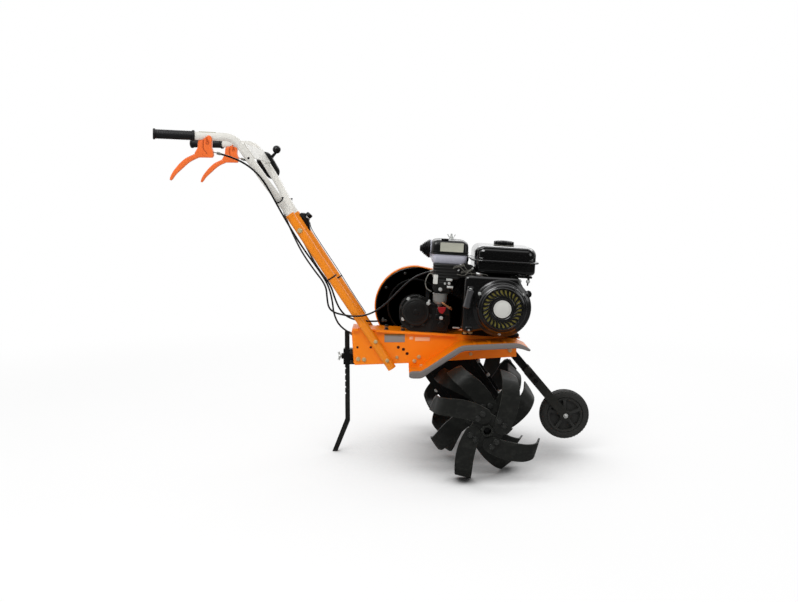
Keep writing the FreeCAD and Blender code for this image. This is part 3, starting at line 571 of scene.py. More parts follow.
def turned(profile, at, axis=rightward, steps=32, loop=False, rim=None):
    # a profile of (distance along the axis, radius) turned about it; rim(angle) scales the radius
    profile = np.asarray(profile, float)
    angle = np.linspace(0, 2 * math.pi, steps, endpoint=False)
    axis = unit(axis)
    side = unit(np.cross(axis, upward if abs(axis[2]) < 0.9 else forward))
    ring = np.cos(angle)[:, None] * side + np.sin(angle)[:, None] * np.cross(axis, side)
    if rim is not None:
        ring = ring * rim(angle)[:, None]
    grid = np.asarray(at, float) + profile[:, :1, None] * axis + profile[:, 1:, None] * ring[None]
    return closedGrid(grid, loop)


def hexRim(angle):
    # how much further than its flats a hexagon reaches in each direction
    return 1 / np.cos((angle + math.pi / 6) % (math.pi / 3) - math.pi / 6)


def hexHead(at, axis, flats, high, washer=0.0):
    # a bolt head: a hexagon turned back at its top edge, on a washer if it has one
    foot = np.asarray(at, float) + unit(axis) * (1.4 if washer else 0)
    head = turned(np.array([(0, 1), (0.8, 1), (1, 0.88)]) * (high, flats / 2), foot, axis, 24, rim=hexRim)
    if not washer:
        return head
    return joined(head, turned([(0, washer), (1.0, washer), (1.4, washer - 0.5)], at, axis, 24))


def bolts(rows, axis=rightward):
    # bolt heads that face one way; a row is x, y, z, width over flats, height and the washer's radius
    return joined(*[hexHead(row[:3], axis, *row[3:]) for row in rows])


def roundHead(at, axis, r, high):
    # a dome: a quarter of an ellipse turned about its axis
    rise = np.radians([0, 25, 50, 70, 85])
    return turned(np.stack([high * np.sin(rise), r * np.cos(rise)], -1), at, axis, 20)


def ringSection(r, sides, flat=1.0):
    # a circle about the origin, flattened to a share of its height
    angle = np.linspace(0, 2 * math.pi, sides, endpoint=False)
    return np.stack([r * np.cos(angle), r * flat * np.sin(angle)], -1)


def roundPoints(middle, r, angles, y=0.0):
    # points on a circle square to the y axis; the angles are in degrees
    angles = np.radians(angles)
    return np.stack([middle[0] + r * np.cos(angles), y + 0 * angles, middle[1] + r * np.sin(angles)], -1)


def boxSection(wide, high, r, steps=3):
    # a rectangle about the origin, each corner a quarter circle of radius r
    turns = np.radians([q * 90 + np.linspace(0, 90, steps + 1) for q in range(4)])
    signs = np.array([(1, 1), (-1, 1), (-1, -1), (1, -1)])[:, None]
    return (np.stack([np.cos(turns), np.sin(turns)], -1) * r
            + signs * np.array([wide / 2 - r, high / 2 - r])).reshape(-1, 2)


def placedBox(x, z, r, steps=4):
    # the same between two limits each way
    return boxSection(x[1] - x[0], z[1] - z[0], r, steps) + [(x[0] + x[1]) / 2, (z[0] + z[1]) / 2]


def roundCorners(corners, r, steps=4):
    # a polygon whose corners are drawn off by a curve from one side to the next
    corners = np.asarray(corners, float)
    before, after = unit(np.roll(corners, 1, 0) - corners), unit(np.roll(corners, -1, 0) - corners)
    half = np.arccos(np.clip((before * after).sum(1), -0.999, 0.999)) / 2
    back = (np.broadcast_to(np.asarray(r, float), len(corners)) / np.tan(half))[:, None, None]
    t = np.linspace(0, 1, steps + 1)[None, :, None]
    at = corners[:, None]
    curve = ((1 - t) ** 2 * (at + before[:, None] * back) + 2 * t * (1 - t) * at
             + t ** 2 * (at + after[:, None] * back))
    return curve.reshape(-1, 2)


def bendCorners(points, r, steps=5):
    # an open line whose inner corners are bent to a radius
    points = np.asarray(points, float)
    ends = points[[0, -1]]
    at, before, after = points[1:-1], unit(points[:-2] - points[1:-1]), unit(points[2:] - points[1:-1])
    half = np.arccos(np.clip((before * after).sum(1), -0.9999, 0.9999)) / 2
    back = (np.broadcast_to(np.asarray(r, float), len(at)) / np.tan(half))[:, None, None]
    t = np.linspace(0, 1, steps + 1)[None, :, None]
    curve = ((1 - t) ** 2 * (at[:, None] + before[:, None] * back) + 2 * t * (1 - t) * at[:, None]
             + t ** 2 * (at[:, None] + after[:, None] * back))
    return np.concatenate([ends[:1], curve.reshape(-1, points.shape[1]), ends[1:]])


def smoothLine(points, steps=8):
    # a line through all the points, each span a cubic in the directions of the chords about it
    points = np.asarray(points, float)
    padded = np.concatenate([2 * points[:1] - points[1:2], points, 2 * points[-1:] - points[-2:-1]])
    t = np.linspace(0, 1, steps, endpoint=False)[None, :, None]
    a, b, c, d = (padded[k:len(padded) - 3 + k, None] for k in range(4))
    spans = 0.5 * (2 * b + (c - a) * t + (2 * a - 5 * b + 4 * c - d) * t ** 2
                   + (3 * b - a - 3 * c + d) * t ** 3)
    return np.concatenate([spans.reshape(-1, points.shape[1]), points[-1:]])


def swept(path, section, up=upward, loop=False, scale=1.0):
    # a section carried along a path; its second axis stays as near to up as the path allows
    path = np.asarray(path, float)
    along = np.roll(path, -1, 0) - np.roll(path, 1, 0) if loop else np.gradient(path, axis=0)
    along = unit(along)
    side = unit(np.cross(along, np.asarray(up, float)))
    rise = np.cross(side, along)
    local = section[None] * np.broadcast_to(np.asarray(scale, float), (len(path), 2))[:, None]
    return closedGrid(path[:, None] + local[..., :1] * side[:, None] + local[..., 1:] * rise[:, None], loop)


def wire(points, r, sides=10):
    # a round section carried along a smooth line through the points
    return swept(smoothLine(points), ringSection(r, sides))


def bar(start, end, section, up=upward):
    # a section carried straight from start to end
    return swept(np.array([start, end], float), section, up)


def coil(start, end, r, wireR, turns):
    # a helix about the line from start to end, drawn in to the line at its two ends; 12 points a turn
    start, end = np.asarray(start, float), np.asarray(end, float)
    t = np.linspace(0, 1, int(turns * 12) + 1)[:, None]
    axis = unit(end - start)
    side = unit(np.cross(axis, (0.2, 1, 0.1)))
    angle = 2 * math.pi * turns * t
    wide = r * np.clip(np.minimum(t, 1 - t) * turns * 2, 0.15, 1)
    path = start + (end - start) * t + wide * (np.cos(angle) * side + np.sin(angle) * np.cross(axis, side))
    return swept(path, ringSection(wireR, 6), axis)


def roundedBox(low, high, r, steps=3):
    # a ball's points moved out to eight corners, so that flats lie between its octants
    low, high = np.asarray(low, float), np.asarray(high, float)
    half = (high - low) / 2 - r
    quarter = np.radians(np.linspace(0, 90, steps + 1))
    rise = np.concatenate([quarter, math.pi / 2 + quarter])
    turn = np.concatenate([quarter + q * math.pi / 2 for q in range(4)])
    signX, signY = np.repeat([1, -1, -1, 1], steps + 1), np.repeat([1, 1, -1, -1], steps + 1)
    x = np.sin(rise)[:, None] * np.cos(turn) * r + signX * half[0]
    y = np.sin(rise)[:, None] * np.sin(turn) * r + signY * half[1]
    z = np.broadcast_to((np.cos(rise) * r + np.repeat([1, -1], steps + 1) * half[2])[:, None], x.shape)
    return closedGrid(np.stack([x, y, z], -1) + (low + high) / 2)


def stacked(outline, levels, axis=1, byNormals=False):
    # an outline carried along an axis through levels of (distance, inset); a convex outline is drawn
    # in towards its middle, any other along its own normals
    outline, levels = np.asarray(outline, float), np.asarray(levels, float)
    middle = (outline.max(0) + outline.min(0)) / 2
    half = (outline.max(0) - outline.min(0)) / 2
    if byNormals:
        along = np.roll(outline, -1, 0) - np.roll(outline, 1, 0)
        normal = unit(np.stack([along[:, 1], -along[:, 0]], -1))
        after = np.roll(outline, -1, 0)
        area = (outline[:, 0] * after[:, 1] - outline[:, 1] * after[:, 0]).sum()
        flat = outline[None] - levels[:, 1, None, None] * normal[None] * (1 if area > 0 else -1)
    else:
        flat = middle + (outline - middle)[None] * (1 - levels[:, 1, None, None] / half)
    parts = [flat[..., :1], flat[..., 1:]]
    parts.insert(axis, np.broadcast_to(levels[:, 0, None, None], flat.shape[:2] + (1,)))
    return closedGrid(np.concatenate(parts, -1))


def softEdges(near, far, r, steps):
    # the levels of a slab whose two edges are rounded
    turn = np.radians(np.linspace(0, 90, steps + 1))
    sign = 1 if far > near else -1
    back, drawn = r * (1 - np.sin(turn)), r * (1 - np.cos(turn))
    return np.concatenate([np.stack([near + sign * back, drawn], -1)[::-1],
                           np.stack([far - sign * back, drawn], -1)])


def slab(outline, start, end, r, steps=3, byNormals=False):
    # an outline carried across the machine, its two edges rounded
    return stacked(outline, softEdges(start, end, r, steps), byNormals=byNormals)


def makePiece(name, shape, finish, body="chassis", place=onFloor, replaces=(), sharp=35):
    # welds the points of a shape, or of a list of them, drops its collapsed faces and makes it an object
    # that rides on a body
    points, faces = joined(*shape) if isinstance(shape, list) else shape
    points, index = np.unique(np.round(place(points), 7), axis=0, return_inverse=True)
    faces = index.reshape(-1)[faces]
    kept = faces != np.roll(faces, -1, 1)
    quads = faces[kept.all(1)]
    cut = kept.sum(1) == 3
    triangles = faces[cut][kept[cut]].reshape(-1, 3)
    mesh = bpy.data.meshes.new(name)
    mesh.from_pydata(points.tolist(), [], quads.tolist() + triangles.tolist())
    mesh.validate()
    mesh.shade_smooth()
    mesh.set_sharp_from_angle(angle=math.radians(sharp))
    mesh.materials.append(finishes[finish])
    piece = bpy.data.objects.new(name, mesh)
    bpy.context.collection.objects.link(piece)
    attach(piece, body)
    if replaces:
        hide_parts(*replaces)


def makePair(name, shape, finish, node, sharp, drawn="right"):
    # a piece on the side it is drawn for and its mirror image on the other, for the nodes of each side
    other = "left" if drawn == "right" else "right"
    for side, made in ((drawn, shape), (other, mirrored(shape))):
        makePiece(name + "_" + side, made, finish, replaces=[node + "_" + side], sharp=sharp)


def makeDeckPiece(name, shape, finish, **facts):
    # the same for a shape in the deck's axes
    makePiece(name, shape, finish, place=onDeck, **facts)


# ---- recoil starter and fan shroud

crank = (61.5, 108.5)  # the crankshaft's axis on the deck

recoil = dict(at=(59.5, -150.0, 108.5), flange=94, drum=82, vents=(42.5, 62.5), ridge=67, vanes=26, slant=-15,
              disc=24.4, screws=[(-15, 152.5), (124.5, 156.6), (57.7, 25.0)])


def makeRecoil():
    at, flange, drum, ridge, disc = [recoil[key] for key in ("at", "flange", "drum", "ridge", "disc")]
    inner, outer = recoil["vents"]
    # flange, drum, the ridge round the vents, their sunk floor, the inner land and the sunk middle
    profile = [(0, flange), (6.5, flange), (8, flange - 1.5), (9, drum + 3), (11, drum), (22, drum - 1.5),
               (28, drum - 5), (30.5, drum - 10), (31, ridge + 2.5), (33.2, ridge + 1), (33.2, ridge - 1.5),
               (31, ridge - 3), (31, outer), (26, outer - 0.5), (26, inner + 0.5), (31, inner),
               (32, inner - 2), (32.4, 36), (31.5, 33.5), (29.5, 32.5), (29.5, 20)]
    makeDeckPiece("recoil_cover", turned(profile, at, steps=96), "shroudBlack", replaces=["recoil_starter"],
                  sharp=50)

    floor = [(26.2, inner + 0.5), (26.2, outer - 0.5), (27.4, outer - 0.5), (27.4, inner + 0.5)]
    makeDeckPiece("recoil_vent_floor", turned(floor, at, steps=72, loop=True), "ventOlive")

    # one slanting vane, wider outside than in, and its copies round the cover
    lean = math.radians(recoil["slant"])
    start = np.array(at) + (0, -29.0, inner - 0.5)
    end = np.array(at) + (outer * math.sin(lean), -29.0, outer * math.cos(lean))
    middle = (start + end) / 2 + (math.copysign(2.2, lean), 0, -1.4)
    path = smoothLine([start, middle, end], 4)
    wide = np.linspace(0.75, 1.25, len(path))[:, None] * [1, 0] + [0, 1]
    vane = swept(path, boxSection(6.6, 4.6, 1.4), rightward, scale=wide)
    makeDeckPiece("recoil_vanes", ringOf(vane, recoil["vanes"], at), "shroudBlack")

    plate = turned([(29, 28.8), (31.6, 28.8), (32.4, 28), (32.4, disc + 0.8), (31.4, disc),
                    (32.8, disc - 0.4), (33.6, 20), (33.9, 9)], at, steps=64)
    makeDeckPiece("recoil_disc", plate, "discSilver", sharp=60)
    makeDeckPiece("recoil_screws", bolts([(x, -158, z, 8, 5, 6) for x, z in recoil["screws"]]), "zinc")


shroud = dict(r=97, y=(-62, -150), back=-66, low=20, top=208.5, edge=11)


def shroudOutline():
    # round the fan from low at the back under it and up its front, then over the sloping top
    (x, z), r = crank, shroud["r"]
    back, low, top = shroud["back"], shroud["low"], shroud["top"]
    angle = np.radians(np.linspace(-128, 48, 40))
    arc = np.stack([x + r * np.cos(angle), z + r * np.sin(angle)], -1)
    rest = [(x + 50, top - 2), (x + 30, top), (back + 14, top), (back + 3, top - 4), (back, top - 15),
            (back, low + 16), (back + 5, low + 4), (back + 18, low - 1)]
    return np.concatenate([arc, rest])


def makeShroud():
    (x, z), (far, near) = crank, shroud["y"]
    levels = softEdges(far, near, shroud["edge"], 4)
    levels[:4, 1] = 0  # the edge by the block is left square
    makeDeckPiece("fan_housing", stacked(shroudOutline(), levels, byNormals=True), "shroudBlack",
                  replaces=["fan_shroud"], sharp=40)

    # pressed rim outside the recoil flange, and the rib that leads down from it to the foot
    angle = np.radians(np.linspace(-60, 140, 48))
    rim = np.stack([x + 90.5 * np.cos(angle), 0 * angle + near - 0.5, z + 90.5 * np.sin(angle)], -1)
    rib = [(x - 92, near - 1, z + 30), (x - 108, near - 1, z + 8), (x - 112, near - 1, z - 40),
           (x - 96, near - 1, z - 70)]
    notch = [(x - 21.5, near - 5, z + 90), (x - 6, near - 7.5, z + 83), (x + 8, near - 5, z + 92)]
    # two lugs for the screws that hold the housing to the block
    parts = [swept(rim, boxSection(5, 3.5, 1.4), rightward),
             swept(smoothLine(rib), boxSection(6, 3.6, 1.5), rightward),
             roundedBox((x - 118, near - 6, z + 44), (x - 96, near + 8, z + 66), 5),
             roundedBox((x - 116, near - 5, z - 84), (x - 92, near + 8, z - 66), 5),
             swept(bendCorners(notch, 2), ringSection(2, 8), rightward)]
    makeDeckPiece("fan_housing_ribs", parts, "glossBlack")
    knob = turned([(0, 9), (4, 9), (6, 11.5), (16, 11.5), (19, 9), (20, 5)], (137, -140, 156),
                  (0.5, -0.75, 0.25), 24, rim=lambda angle: 1 + 0.05 * np.cos(8 * angle))
    makeDeckPiece("fan_housing_knob", knob, "blackPlastic")
    screws = bolts([(x - 107, near - 6, z + 55, 7.5, 4.5, 5.8), (x - 104, near - 5, z - 78, 6.5, 3.5)])
    makeDeckPiece("fan_housing_screws", screws, "zinc")

    # pull grip: a waisted bar with rounded ends, leaning with the cord's way out of the cover
    line = [(-58, 104), (-56, 112), (-52, 135), (-47, 158), (-45, 166)]
    path = np.insert(smoothLine(line, 6), 1, -166, axis=1)
    t = np.linspace(0, 1, len(path))
    wide = np.sqrt(np.clip(1 - (2 * t - 1) ** 8, 0.12, 1)) * (1 - 0.14 * np.sin(np.pi * t) ** 2)
    grip = swept(path, ringSection(12.6, 24), rightward, scale=wide[:, None])
    collar = turned([(0, 7), (3, 8.5), (8, 8.5), (10, 6)], (-41, -152, 138), (-0.9, -0.3, 0), 20)
    makeDeckPiece("pull_grip", [grip, collar], "pullGrey", replaces=["starter_handle"])


makeRecoil()
makeShroud()
print("recoil starter and shroud made")


# ---- fuel tank cap, bead and brackets

tank = dict(x=(-33, 170), y=(-115, 105), lip=8, lipCorner=43, seam=257.5, top=306.5, cap=(70, 0), capLobes=20)


def makeTankDetails():
    (x, y), top, lobes = tank["cap"], tank["top"], tank["capLobes"]
    # cap: a skirt with finger lobes under a shallow dome
    skirt = turned([(0, 33), (1, 34), (10.5, 34), (12.5, 32)], (x, y, top + 1), upward, 8 * lobes,
                   rim=lambda angle: 1 - 0.07 * (np.cos(lobes * angle) > 0.1))
    dome = turned([(11, 27), (14, 27), (15, 25.5), (15, 20), (13.5, 18.5), (13.5, 4)], (x, y, top),
                  upward, 64)
    neck = turned([(-4, 37), (0.5, 36.5), (1.5, 34)], (x, y, top), upward, 64)
    makeDeckPiece("tank_cap", [skirt, dome], "blackPlastic", replaces=["fuel_cap"])
    makeDeckPiece("tank_neck", neck, "turnedSteel")

    # the pressed bead on the near face, a closed line that goes back with the face's rounded edges
    (left, right), (near, far), grown = tank["x"], tank["y"], tank["lip"]
    outline = roundCorners([(-20, 264), (156, 264), (160, 290), (140, 299), (-2, 299), (-24, 292)],
                           [6, 6, 12, 14, 14, 10])
    topEdge = (26, outline[:, 1] - 280.5)
    sideEdge = (34, np.maximum(1 - outline[:, 0], outline[:, 0] - 136))
    back = sum(r - np.sqrt(r ** 2 - np.clip(past, 0, r) ** 2) for r, past in (topEdge, sideEdge))
    bead = swept(np.insert(outline, 1, near + back, axis=1), ringSection(4, 12, 0.75), rightward, loop=True)
    # and the seam between the tank's halves, rolled over at the lip's edge
    lip = roundCorners([(left - grown, near - grown), (right + grown, near - grown),
                        (right + grown, far + grown), (left - grown, far + grown)], tank["lipCorner"], 8)
    roll = swept(np.insert(lip, 2, tank["seam"], axis=1), ringSection(3, 10), loop=True)
    makeDeckPiece("tank_bead", [bead, roll], "glossBlack")

    # brackets and bolts that hold the tank's front over the fan housing
    strap = boxSection(16, 3.2, 1)
    bent = [[(112, -78, 213), (112, -96, 213), (112, -104, 200), (118, -104, 186)],
            [(144, -60, 215), (144, -84, 215), (150, -96, 204), (146, -96, 182)]]
    straps = [swept(bendCorners(line, 4), strap, forward) for line in bent]
    makeDeckPiece("tank_straps", [*straps, roundedBox((88, -104, 206), (160, -82, 213.5), 3)], "ironLacquer")
    makeDeckPiece("tank_strap_bolts", bolts([(118, -106, 196, 9, 5, 7), (147, -98, 196, 9, 5, 7)]), "zinc")


makeTankDetails()


# ---- air cleaner

cleaner = dict(x=(-178, -54), y=(-87, 37), corner=16, base=(238.5, 271.5), nut=(-111, -25, 318.5),
               horn=(-178, -25, 282.5))


def makeAirCleaner():
    outline = placedBox(cleaner["x"], cleaner["y"], cleaner["corner"], 6)
    low, high = cleaner["base"]
    cover = [(high - 3, -1.5), (high, -1.5), (high + 1.5, 0), (high + 26, 0.8), (high + 34, 2.5),
             (high + 40, 6.5), (high + 44, 13), (high + 46.5, 24), (high + 47.5, 44)]
    makeDeckPiece("cleaner_cover", stacked(outline, cover, 2), "cleanerBlack",
                  replaces=["air_cleaner_cover"], sharp=42)
    bead = [(high + 5, -0.2), (high + 5.8, -1.2), (high + 7.6, -1.2), (high + 8.4, -0.2)]
    makeDeckPiece("cleaner_bead", stacked(outline, bead, 2), "cleanerBlack")
    base = [(low, 9), (low + 1, 7), (low + 5, 5), (high - 8, 2.5), (high - 4, 2), (high - 3.2, 0.4),
            (high - 1, 0.4), (high - 0.5, 3)]
    makeDeckPiece("cleaner_base", stacked(outline, base, 2), "paleAlloy", replaces=["air_cleaner_base"])

    # blank plate on the near face, held by its rim
    plate = stacked(placedBox((-149, -72), (278.5, 308.5), 2.5),
                    [(-85, 0), (-87.9, 0), (-88.4, 0.5), (-88.4, 1.6), (-88.1, 2.2)])
    makeDeckPiece("cleaner_plate", plate, "blankPlate")

    # wing nut: a cone and two bent ears
    foot = np.array(cleaner["nut"])
    ears = [swept(smoothLine([foot + (side * out, 0, rise) for out, rise in ((4, 5), (9, 9), (13, 16))], 5),
                  boxSection(2.6, 8, 1.2), leftward) for side in (-1, 1)]
    nut = turned([(0, 9), (2, 9), (3, 6), (10, 4.4), (13, 3.4), (18, 3.2)], foot, upward, 20)
    makeDeckPiece("cleaner_wing_nut", [nut, *ears], "zinc")
    makeDeckPiece("cleaner_clip", roundedBox((-146, -78, 317), (-122, -64, 320.5), 1.6), "blackPlastic")

    # breather horn at the back: a pale gasket, then stepped rings down to its mouth
    gasket = turned([(-1, 31), (1.6, 31), (2.2, 30)], cleaner["horn"], backward, 40)
    makeDeckPiece("breather_gasket", gasket, "paleAlloy")
    horn = [(2, 30), (8, 31), (10, 27), (13, 28), (15, 23), (18, 25), (20, 19.5), (23, 21.5), (25, 15.5),
            (28, 17), (30, 11), (33, 12), (36, 9), (37, 6.5), (30, 5.5)]
    makeDeckPiece("breather_horn", turned(horn, cleaner["horn"], backward, 40), "blackPlastic")


makeAirCleaner()
print("tank and air cleaner made")


# ---- carburettor, its duct, linkage and fuel tap

carb = dict(duct=(189, 238.5), ridges=5, bowl=(-140, -90, 140.5))


def makeCarburettor():
    # the duct narrows and widens by a cosine wave of four levels to a ridge
    level = np.arange(4 * carb["ridges"] + 1)
    levels = np.stack([np.linspace(*carb["duct"], len(level)), 1.6 + 1.0 * np.cos(level * math.pi / 2)], -1)
    duct = stacked(placedBox((-170, -78), (-113, -50), 10, 5), levels, 2)
    makeDeckPiece("ribbed_duct", duct, "gearBlack", replaces=["intake_duct"], sharp=60)

    body = [roundedBox((-162, -112, 141), (-108, -66, 189), 6),
            roundedBox((-166, -108, 150), (-158, -70, 184), 3),
            turned([(0, 17), (5, 17), (6, 14), (12, 13)], (-112, -88, 166), forward, 32),
            roundedBox((-150, -117, 150), (-120, -108, 180), 3)]
    makeDeckPiece("carb_body", body, "carbDark", replaces=["carburettor"])
    x, y, z = carb["bowl"]
    bowl = turned([(0, 25), (3, 25), (4, 23.5), (24, 23.5), (31, 21), (36, 15), (39, 7.5), (43, 7), (44, 5)],
                  (x, y, z), downward, 40)
    makeDeckPiece("carb_bowl", [bowl, hexHead((x, y, z - 42.5), downward, 9, 5)], "castAlloy")
    pipe = wire([(-134, -108, 112), (-126, -113, 107), (-116, -114, 101), (-106, -112, 95), (-100, -104, 90)],
                3.1)
    elbow = turned([(0, 5), (3, 5), (4, 4)], (-108, -112.6, 96.5), (1, 0, -0.6), 16)
    makeDeckPiece("carb_pipe", [pipe, elbow], "copperPipe")
    # tap: a body on a bracket with a short red lever
    tap = [turned([(0, 9), (6, 9), (8, 7)], (-133, -104, 86), steps=24),
           roundedBox((-150, -106, 70), (-104, -96, 92), 4)]
    makeDeckPiece("fuel_tap", tap, "carbDark")
    lever = roundCorners([(-148, 96), (-117, 98), (-123, 82), (-131, 74), (-142, 80)], [4, 4, 5, 5, 5])
    makeDeckPiece("fuel_tap_lever", slab(lever, -111, -119, 2), "redPlastic")

    heads = [(-142, -117, 155, 8.5, 5, 6.4), (-178, -112, 106, 8.5, 5, 6.4), (-133, -112, 60, 8.5, 5, 6.4),
             (-128, -117, 175, 7, 4), (-176, -110, 115, 7, 5)]
    makeDeckPiece("carb_bolts", bolts(heads), "zinc")
    plate = slab(placedBox((-167, -152), (172, 203), 2), -113, -116.5, 0.8, 2)
    makeDeckPiece("carb_plate", plate, "palePlate")
    loop = [(-182, -114, 204), (-188, -115, 192), (-192, -116, 176), (-188, -116, 158), (-178, -115, 150),
            (-170, -113, 146)]
    hook = [(-182, -114, 204), (-174, -113, 206), (-168, -112, 200)]
    makeDeckPiece("choke_loop", [wire(loop, 1.7, 8), wire(hook, 1.7, 8)], "turnedSteel")
    clips = [roundedBox((-124, -117, 184), (-104, -111, 192), 2),
             roundedBox((-121, -117, 160), (-100, -110, 168), 2),
             turned([(0, 4.5), (9, 4.5), (10, 3.5)], (-114, -110, 176), steps=16)]
    makeDeckPiece("carb_clips", clips, "zinc")
    stay = [swept(bendCorners([(-182, -100, 150), (-182, -100, 120), (-176, -100, 98), (-150, -100, 98)], 6),
                  boxSection(12, 3, 1), rightward),
            roundedBox((-152, -104, 52), (-118, -98, 70), 2.5),
            roundedBox((-126, -104, 60), (-116, -98, 100), 2.5)]
    makeDeckPiece("carb_stay", stay, "ironLacquer")


def makeLinkage():
    # governor rods under the tank, their springs, and the control plate between carburettor and block
    rods = [wire([(-104, -112, 226), (-84, -116, 233), (-58, -117, 215), (-20, -117, 213), (6, -117, 212),
                  (14, -116, 204)], 0.9),
            wire([(-62, -114, 196), (-30, -115, 195), (18, -115, 199), (44, -114, 203)], 1.1),
            wire([(-74, -113, 246), (-60, -116, 226), (-44, -116, 216), (-40, -114, 196)], 0.8),
            wire([(-90, -114, 208), (-66, -116, 206), (-50, -115, 222), (-36, -112, 236)], 0.8)]
    makeDeckPiece("governor_rods", rods, "turnedSteel")
    springs = [coil((-104, -114, 230), (-66, -115, 240), 3.6, 0.7, 11),
               coil((-78, -113, 214), (-40, -114, 226), 3, 0.6, 10)]
    makeDeckPiece("governor_springs", springs, "turnedSteel")
    plate = roundCorners([(-108, 196), (-30, 198), (-24, 212), (-40, 240), (-68, 246), (-104, 222)], 6)
    arm = roundCorners([(-66, 176), (-52, 176), (-34, 236), (-46, 240)], 5)
    makeDeckPiece("control_plate", [slab(plate, -104, -107.5, 1), slab(arm, -108, -111, 1)], "gearBlack")
    knob = bar((-44, -116, 183), (-20, -120, 189), ringSection(3.6, 16, 0.8), rightward)
    pins = bolts([(-86, -107.5, 222, 7, 4), (-58, -111, 190, 8, 5, 6), (-40, -111, 230, 6, 4)])
    makeDeckPiece("control_pins", [knob, pins], "zinc")


makeCarburettor()
makeLinkage()
print("carburettor and linkage made")


# ---- cylinder, head, block details and silencer

cylinder = dict(lean=-155, y=(-50, 65), half=48, run=(44, 188), head=118)


def leaned(*shapes):
    # from the cylinder's own axes, x out along it and z across it, to the deck's
    return moved(moved(joined(*shapes), turn=cylinder["lean"]), (crank[0], 0, crank[1]))


def makeCylinder():
    (near, far), half = cylinder["y"], cylinder["half"]
    middle = (near + far) / 2
    # fins and gaps of two levels each, a little narrower along the head
    path = np.linspace(*cylinder["run"], 64)
    fin = np.arange(64) % 4 < 2
    wide = np.where(path > cylinder["head"], np.where(fin, 0.97, 0.84), np.where(fin, 1.0, 0.86))
    line = np.stack([path, np.full(64, middle), np.zeros(64)], -1)
    barrel = swept(line, boxSection(far - near, 2 * half, 9, 4), scale=wide[:, None])
    gasket = bar((119, middle, 0), (122, middle, 0), boxSection(104, 92, 9, 4))
    cover = swept([(x, 7, 0) for x in (186, 190, 191, 202, 205, 206.5)], boxSection(96, 84, 12, 4),
                  scale=np.array([1, 1, 0.94, 0.9, 0.84, 0.7])[:, None])
    studs = bolts([(203, y, z, 9, 4, 7) for y, z in ((-23, -24), (37, -24), (-23, 24), (37, 24))], forward)
    makeDeckPiece("finned_cylinder", leaned(barrel, gasket), "engineBlack", replaces=["cylinder_head"])
    makeDeckPiece("valve_cover", leaned(cover), "shroudBlack")
    makeDeckPiece("valve_cover_bolts", leaned(studs), "zinc")
    ports = [roundedBox((-136, -66, 143), (-92, -40, 181), 6), roundedBox((-104, 56, 166), (-72, 78, 234), 8)]
    makeDeckPiece("head_ports", ports, "engineBlack")
    # spark plug on the upper side of the head, in its ribbed boot
    at, out = (152, 34, -48), (0.35, 0, -1)
    plug = turned([(0, 10), (7, 10), (8, 5), (22, 5)], at, out, 24)
    boot = turned([(15, 8), (17, 9.5), (22, 9.5), (24, 8.5), (29, 9.5), (36, 9.5), (42, 8), (46, 5)], at,
                  out, 24)
    makeDeckPiece("spark_plug", leaned(plug), "zinc")
    makeDeckPiece("spark_plug_boot", leaned(boot), "blackPlastic")


def makeBlockDetails():
    # side cover on the drive side with its bolts, oil filler, drain plug and the bolts of the feet
    outline = roundCorners([(-30, 30), (120, 30), (126, 90), (116, 160), (-20, 166), (-34, 110)], 14)
    cover = stacked(outline, [(70, 0), (84, 0), (87, 2), (89, 6), (91, 16)])
    makeDeckPiece("crank_cover", cover, "engineBlack")
    spots = [(-22, 40), (44, 37), (112, 38), (118, 96), (108, 152), (40, 158), (-14, 156), (-26, 100)]
    makeDeckPiece("crank_cover_bolts", bolts([(x, 88, z, 9, 5, 7) for x, z in spots], leftward), "zinc")
    filler = turned([(0, 15), (4, 15), (5, 12), (14, 12), (16, 10)], (128, 30, 52), (0.9, 0, 0.45), 24,
                    rim=lambda angle: 1 + 0.06 * np.cos(6 * angle))
    makeDeckPiece("oil_filler", filler, "blackPlastic")
    makeDeckPiece("drain_plug", bolts([(129, -20, 32, 13, 8, 10)], forward), "zinc")
    corners = [(x, y, 15.5, 11, 7, 9) for x in (-32, 118) for y in (-50, 50)]
    makeDeckPiece("foot_bolts", [bolts(corners, upward), hexHead((-48, -74, 8), (0, -0.3, 1), 10, 22, 7),
                                 hexHead((-31, -70, 10), (0, -1, 0.2), 11, 6, 9)], "yellowZinc")
    feet = [roundedBox((-58, -76, 2), (-24, -56, 9), 2.5), roundedBox((-42, -62, 4), (136, -54, 14), 3)]
    makeDeckPiece("engine_feet", feet, "engineBlack")
    makeDeckPiece("base_clip", roundedBox((-90, -66, 21), (-66, -62, 26), 1.5), "zinc")
    # cooling duct and its leg, between the block and the fan housing
    duct = [roundedBox((-58, -64, 150), (0, -40, 204), 6), roundedBox((-60, -64, 60), (-38, -44, 150), 6)]
    makeDeckPiece("cooling_duct", duct, "engineBlack")


silencer = dict(middle=(82, 267.5), guard=(44, 40), hoops=(-162, -60), slats=12)


